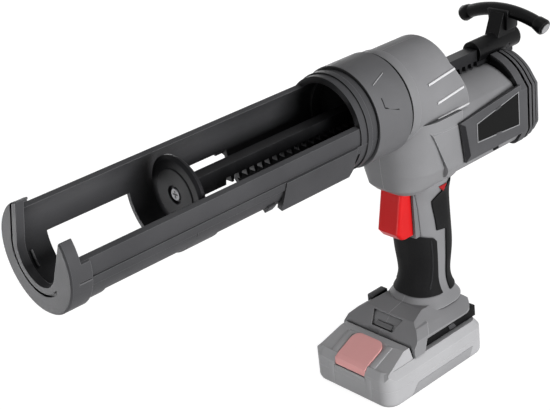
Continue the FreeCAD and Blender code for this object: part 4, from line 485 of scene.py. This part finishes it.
# worn end discs on the bar, dished in the middle
barEnd = {"radius": 4.0, "depth": 1.4, "rim": 0.9, "dish": 0.35, "round": 0.3, "finish": "greyBarEnd",
          "slot": "dark_plastic"}
for side, way in sides:
    outward = barOutward(way)
    disc = barRound("barEnd" + side, way, 0, barEnd)
    pick(disc, "FACE", lambda place, normal: normal.dot(outward) > alike)
    bpy.ops.mesh.inset(thickness=barEnd["rim"] * mm)
    bpy.ops.transform.translate(value=-outward * barEnd["dish"] * mm)
    finishPiece(disc, barEnd, "push_rod")

# black knobs round the bar's ends, narrower inside
barKnob = {"radius": 6.2, "depth": 9.0, "inset": 0.3, "taper": 0.82, "round": 1.8,
           "finish": "blackNylonHandle", "slot": "dark_plastic"}
for side, way in sides:
    outward = barOutward(way)
    knob = barRound("barKnob" + side, way, barKnob["depth"] / 2 + barKnob["inset"], barKnob)
    pick(knob, "FACE", lambda place, normal: normal.dot(outward) < -alike)
    bpy.ops.transform.resize(value=(barKnob["taper"],) * 3)
    finishPiece(knob, barKnob, "push_rod")

# saddle that carries the bar's middle, narrower below
barSaddle = {"halfLength": 6.4, "halfWidth": 9.2, "top": 3.0, "tall": 15.0, "taper": 0.9, "round": 1.2,
             "finish": "blackNylonHandle", "slot": "dark_plastic"}
saddleTop = span("pull_handle")[1].z - barSaddle["top"]
saddle = boxBetween("barSaddle", (handleBar["behind"] - barSaddle["halfLength"], -barSaddle["halfWidth"],
                                  saddleTop - barSaddle["tall"]),
                    (handleBar["behind"] + barSaddle["halfLength"], barSaddle["halfWidth"], saddleTop))
pick(saddle, "FACE", lambda place, normal: normal.z < -alike)
bpy.ops.transform.resize(value=(1, barSaddle["taper"], 1))
finishPiece(saddle, barSaddle, "push_rod")
print("cradle and rod pieces made")

# rear cover's arms: a bevel in front drawn dark as painted shade, a bright rim and two clips round each name
# plate, a notch below drawn as a dark patch of painted shade
armBevel = {"corners": [(-39.6, 182.8), (-44.6, 179.6), (-48.6, 156.4), (-43.6, 152.9)],
            "lifts": (0, 0.35, 0.35, 0), "thick": 0.5, "finish": "blackNylonAndBevelShade", "slot": "cover_plastic"}
badgeRim = {"plate": [(-57.3, 176.5), (-102.7, 184.5), (-102.7, 160.6), (-57.3, 163.6)], "width": 0.7,
            "lift": 0.2, "thick": 0.8, "finish": "greyRim", "slot": "cover_plastic"}
badgeClip = {"length": 6.0, "width": 1.5, "thick": 0.8, "round": 0.15, "finish": "darkGreyNylonCover",
             "slot": "cover_plastic"}
# the notch is a black box of painted shade on the arm's lower edge
armNotch = {"front": -74, "rear": -79, "top": 152.8, "drop": 1.8, "deep": 1.0, "proud": 0.1,
            "finish": "blackNylonAndGapShade", "slot": "cover_plastic"}


# moves an outline of (x, z) corners outward from its middle by a width
def grownOutline(corners, width):
    middleX = sum(x for x, z in corners) / len(corners)
    middleZ = sum(z for x, z in corners) / len(corners)
    return [(x + math.copysign(width, x - middleX), z + math.copysign(width, z - middleZ))
            for x, z in corners]


# outline of a clip along the middle of a plate's edge, from one (x, z) corner to the next
def clipOutline(here, following):
    middleX = (here[0] + following[0]) / 2
    middleZ = (here[1] + following[1]) / 2
    lean = (following[1] - here[1]) / (following[0] - here[0])
    half = badgeClip["length"] / 2
    wide = badgeClip["width"] / 2
    return [(middleX + half, middleZ + half * lean + wide), (middleX - half, middleZ - half * lean + wide),
            (middleX - half, middleZ - half * lean - wide), (middleX + half, middleZ + half * lean - wide)]


plate = badgeRim["plate"]
outer = grownOutline(plate, badgeRim["width"])
for side, way in sides:
    face = way * coverHigh.y
    corners = [(x, face + way * lift, z) for (x, z), lift in zip(armBevel["corners"], armBevel["lifts"])]
    finishPiece(cornerPlate("armBevel" + side, corners, armBevel["thick"]), armBevel, "frame")
    rimFace = face - way * badgeRim["thick"] / 2 + way * badgeRim["lift"]
    for edge in range(len(plate)):
        following = (edge + 1) % len(plate)
        loop = [plate[edge], plate[following], outer[following], outer[edge]]
        rim = cornerPlate("badgeRim%s%d" % (side, edge + 1), [(x, rimFace, z) for x, z in loop],
                          badgeRim["thick"])
        finishPiece(rim, badgeRim, "frame")
    for number, (here, following) in enumerate((plate[:2], plate[2:]), 1):
        clip = cornerPlate("badgeClip%s%d" % (side, number),
                           [(x, face, z) for x, z in clipOutline(here, following)], badgeClip["thick"])
        finishPiece(clip, badgeClip, "frame")
    low, high = sorted((face - way * armNotch["deep"], face + way * armNotch["proud"]))
    notch = boxBetween("armNotch" + side, (armNotch["rear"], low, armNotch["top"] - armNotch["drop"]),
                       (armNotch["front"], high, armNotch["top"]))
    finishPiece(notch, armNotch, "frame")

# black strip of painted shadow in front of the cover's lip, on both sides of the rod's channel: the lip is an
# arc over the block
coverLipShadow = {"front": -106.0, "thick": 0.7, "halfWidth": 27.5, "rise": 13.0, "tall": 5.6, "inset": 0.7,
             "channel": 10.2, "steps": 12, "finish": "blackNylonAndGapShade", "slot": "cover_plastic"}
lipRadius = (coverLipShadow["halfWidth"] ** 2 + coverLipShadow["rise"] ** 2) / (2 * coverLipShadow["rise"])
lipCentre = coverHigh.z - lipRadius
sealRadii = (lipRadius - coverLipShadow["tall"], lipRadius - coverLipShadow["inset"])
startAngle = math.degrees(math.acos(coverLipShadow["halfWidth"] / lipRadius))
endAngle = math.degrees(math.acos(coverLipShadow["channel"] / lipRadius))
for side, way in sides:
    angles = (startAngle, endAngle) if way > 0 else (180 - endAngle, 180 - startAngle)
    seal = spunBar("coverLipShadow" + side, (coverLipShadow["front"], coverLipShadow["front"] + coverLipShadow["thick"]),
                   sealRadii, angles, coverLipShadow["steps"], lipCentre)
    finishPiece(seal, coverLipShadow, "frame")
print("cover pieces made")

# battery pack: raised strips beside the button down to the nose
packStrip = {"inner": 15.4, "outer": 21.0, "thick": 0.7, "round": 0.3, "finish": "paleGreyAbs",
             "slot": "pack_plastic", "path": [(28.2, 34.6), (47.8, 26.7), (51.9, 19.6), (52.0, 4.0)]}


# a ribbon that follows (x, z) points between two places across y
def ribbon(name, look, low, high):
    first, second = (Vector((x, 0, z)) for x, z in look["path"][:2])
    along = second - first
    bpy.ops.object.select_all(action="DESELECT")
    bpy.ops.mesh.primitive_plane_add(size=1, rotation=(0, -math.atan2(along.z, along.x), 0),
                                     location=((first + second) / 2 + Vector((0, (low + high) / 2, 0))) * mm)
    piece = settle(name, (along.length * mm, (high - low) * mm, 1))
    here = second
    for x, z in look["path"][2:]:
        following = Vector((x, 0, z))
        pick(piece, "VERT", lambda place, normal: (Vector((place.x, 0, place.z)) - here).length < near)
        bpy.ops.mesh.extrude_region_move(TRANSFORM_OT_translate={"value": (following - here) * mm})
        here = following
    bpy.ops.object.mode_set(mode="OBJECT")
    thicken(piece, look["thick"])
    return piece


for side, way in sides:
    low, high = sorted((way * packStrip["inner"], way * packStrip["outer"]))
    finishPiece(ribbon("packStrip" + side, packStrip, low, high), packStrip, "pack")

# bare fields on both sides of the pack
packField = {"corners": [(22.5, 10.4), (-37, 10.4), (-33, 2.8), (29, 2.8)], "thick": 0.5, "round": 0.15,
             "finish": "greyFieldAbs", "slot": "pack_plastic"}
for side, way in sides:
    corners = [(x, way * packHigh.y, z) for x, z in packField["corners"]]
    finishPiece(cornerPlate("packField" + side, corners, packField["thick"]), packField, "pack")

# the case's lip in front of the button's foot, which sinks behind it when pressed
buttonLip = {"gap": 0.25, "thick": 0.75, "top": 0.2, "tall": 3.6, "over": 0.1, "round": 0.2,
             "finish": "paleGreyAbs", "slot": "pack_plastic"}
buttonLow, buttonHigh = span("battery_button")
lipTop = buttonLow.z - buttonLip["top"]
lipBack = buttonHigh.x + buttonLip["gap"]
lipHalf = buttonHigh.y + buttonLip["over"]
lip = boxBetween("buttonLip", (lipBack, -lipHalf, lipTop - buttonLip["tall"]),
                 (lipBack + buttonLip["thick"], lipHalf, lipTop))
finishPiece(lip, buttonLip, "pack")

# foot: a clip seat on the far edge of the deck and a catch on each side of the shoe
clipSeat = {"low": (-17.5, -31.0, 40.5), "high": (-2.2, -24.5, 46.8), "round": 0.8,
            "finish": "darkGreyNylonCover", "slot": "housing_plastic"}
finishPiece(boxBetween("clipSeat", clipSeat["low"], clipSeat["high"]), clipSeat, "frame")
shoeCatch = {"corners": [(-19, 33.2), (-25, 33.2), (-28, 29.0), (-21, 29.0)], "thick": 1.6, "round": 0.3,
             "finish": "blackNylonCradle", "slot": "dark_plastic"}
shoeHigh = span("battery_shoe")[1]
for side, way in sides:
    corners = [(x, way * shoeHigh.y, z) for x, z in shoeCatch["corners"]]
    finishPiece(cornerPlate("shoeCatch" + side, corners, shoeCatch["thick"]), shoeCatch, "frame")

# raised seam down both sides of the front skin
gripSeam = {"path": [(-22.3, 96.4), (-22.6, 93.0), (-23.0, 84.9), (-23.2, 74.2), (-22.2, 64.6),
                     (-19.4, 58.2)],
            "width": 0.9, "first": 0.6, "away": 30, "cuts": 3, "thick": 0.6, "finish": "blackNylonAndBevelShade",
            "slot": "soft_grip"}


# a strip down (x, z) points, laid out as far beside the grip as told, cut finely and pressed onto it
def seamLine(name, look, way):
    x, z = look["path"][0]
    bpy.ops.object.select_all(action="DESELECT")
    bpy.ops.mesh.primitive_plane_add(size=1, rotation=(math.radians(90), 0, 0),
                                     location=Vector((x, way * look["away"], z)) * mm)
    piece = settle(name, (look["width"] * mm, look["first"] * mm, 1))
    here = Vector((x, 0, z - look["first"] / 2))
    for x, z in look["path"][1:]:
        following = Vector((x, 0, z))
        pick(piece, "VERT", lambda place, normal: place.z < here.z + near)
        bpy.ops.mesh.extrude_region_move(TRANSFORM_OT_translate={"value": (following - here) * mm})
        here = following
    bpy.ops.mesh.select_all(action="SELECT")
    bpy.ops.mesh.subdivide(number_cuts=look["cuts"])
    bpy.ops.object.mode_set(mode="OBJECT")
    press = piece.modifiers.new("onSkin", "SHRINKWRAP")
    press.wrap_method = "PROJECT"
    press.use_project_y = True
    press.use_negative_direction = True
    press.target = nodes["front_grip"]
    bpy.ops.object.modifier_apply(modifier="onSkin")
    thicken(piece, look["thick"])
    return piece


for side, way in sides:
    finishPiece(seamLine("gripSeam" + side, gripSeam, way), gripSeam, "frame")

# six-sided sockets in the housing's screw heads, on the far side, drawn as black hexagons of painted shade:
# x, height and the head's place across
screwSockets = {"places": [(-2.1, 227.5, -24.7), (-35.4, 227.5, -24.7), (-32, 70.0, -15.3),
                           (0, 40.5, -26.8), (-35.5, 40.5, -26.8)],
                "corners": 6, "radius": 1.7, "deep": 0.8, "proud": 0.05, "finish": "blackNylonAndGapShade",
                "slot": "steel"}
for number, (x, z, y) in enumerate(screwSockets["places"], 1):
    bpy.ops.object.select_all(action="DESELECT")
    bpy.ops.mesh.primitive_cylinder_add(
        vertices=screwSockets["corners"], radius=screwSockets["radius"] * mm,
        depth=screwSockets["deep"] * mm, rotation=(math.radians(90), 0, 0),
        location=Vector((x, y + screwSockets["deep"] / 2 - screwSockets["proud"], z)) * mm)
    finishPiece(settle("screwSocket%d" % number), screwSockets, "frame")
print("pack, foot and screw pieces made")

# camera at the picture's viewing angle: place and reach in metres, lens and sensor in millimetres
cameraLook = {"place": (0.5729, 0.5630, 0.5146), "right": (-0.7280, 0.6768, -0.1095),
              "up": (-0.3635, -0.2457, 0.8986), "lens": 83.94, "sensor": 36, "reach": 20}


def placeCamera(look):
    data = bpy.data.cameras.new("viewCamera")
    data.lens = look["lens"]
    data.sensor_width = look["sensor"]
    data.clip_end = look["reach"]
    camera = bpy.data.objects.new("viewCamera", data)
    bpy.context.scene.collection.objects.link(camera)
    right, up = Vector(look["right"]).normalized(), Vector(look["up"])
    back = right.cross(up).normalized()
    up = back.cross(right)
    turn = Matrix((right, up, back)).transposed().to_4x4()
    camera.matrix_world = Matrix.Translation(look["place"]) @ turn
    bpy.context.scene.camera = camera


placeCamera(cameraLook)

# soft boxes: name, place, aim and width in metres, spread in degrees, power in watts
softBoxes = [("keyBox", (-0.20, 1.80, 0.40), (0.04, 0, 0.17), 0.9, 180, 44),
             ("topBox", (0.00, 0.10, 1.25), (0.0, 0, 0.15), 0.6, 180, 1.2),
             ("noseBox", (0.58, -0.26, 0.05), (0.28, 0, 0.20), 0.2, 40, 0.24),
             ("frontBox", (0.46, 0.02, 0.05), (0.05, 0, 0.08), 0.10, 50, 0.08),
             ("backBox", (-0.45, -1.20, 0.20), (0, 0, 0.15), 0.8, 180, 10)]
for name, place, aim, width, spread, power in softBoxes:
    lamp = bpy.data.lights.new(name, "AREA")
    lamp.shape = "SQUARE"
    lamp.size = width
    lamp.spread = math.radians(spread)
    lamp.energy = power
    box = bpy.data.objects.new(name, lamp)
    box.location = place
    box.rotation_euler = (Vector(aim) - Vector(place)).to_track_quat("-Z", "Y").to_euler()
    bpy.context.scene.collection.objects.link(box)

# pale room: dim to the surfaces, white to the eye and in reflections
roomLook = {"colour": "#FFFFFF", "fill": 0.07, "seen": 1.0}


# one where the eye, a reflection or a clear piece looks straight at a surface
def seenDirectly(tree):
    path = addNode(tree, "ShaderNodeLightPath", {})
    total = path.outputs["Is Camera Ray"]
    for name in ("Is Glossy Ray", "Is Transmission Ray"):
        both = addNode(tree, "ShaderNodeMath", {"operation": "MAXIMUM"})
        tree.links.new(total, both.inputs[0])
        tree.links.new(path.outputs[name], both.inputs[1])
        total = both.outputs[0]
    return total


def paintRoom(look):
    world = bpy.data.worlds.new("paleRoom")
    world.use_nodes = True
    tree = world.node_tree
    tree.nodes.clear()
    strength = addNode(tree, "ShaderNodeMapRange", {"To Min": look["fill"], "To Max": look["seen"]},
                       {"Value": seenDirectly(tree)})
    light = addNode(tree, "ShaderNodeBackground", {"Color": linear(look["colour"])},
                    {"Strength": strength.outputs["Result"]})
    addNode(tree, "ShaderNodeOutputWorld", {}, {"Surface": light.outputs["Background"]})
    bpy.context.scene.world = world


paintRoom(roomLook)

# matt floor just below the base, lifted to near white for the eye, with the shadow kept: sizes in metres
floorLook = {"size": 12, "below": 0.0002, "colour": "#8C8C8C", "glow": 0.94}


def layFloor(look):
    bpy.ops.object.select_all(action="DESELECT")
    bpy.ops.mesh.primitive_plane_add(size=look["size"], location=(0, 0, -look["below"]))
    floor = bpy.context.object
    floor.name = "paleFloor"
    material, tree = newMaterial("paleFloorPaint")
    matt = addNode(tree, "ShaderNodeBsdfDiffuse", {"Color": linear(look["colour"])})
    lift = addNode(tree, "ShaderNodeMath", {"operation": "MULTIPLY"})
    tree.links.new(seenDirectly(tree), lift.inputs[0])
    lift.inputs[1].default_value = look["glow"]
    glow = addNode(tree, "ShaderNodeEmission", {}, {"Strength": lift.outputs[0]})
    both = addNode(tree, "ShaderNodeAddShader", {})
    tree.links.new(matt.outputs[0], both.inputs[0])
    tree.links.new(glow.outputs[0], both.inputs[1])
    addNode(tree, "ShaderNodeOutputMaterial", {}, {"Surface": both.outputs[0]})
    floor.data.materials.append(material)


layFloor(floorLook)
bpy.context.scene.view_settings.view_transform = "Standard"
print("camera, light and floor set")
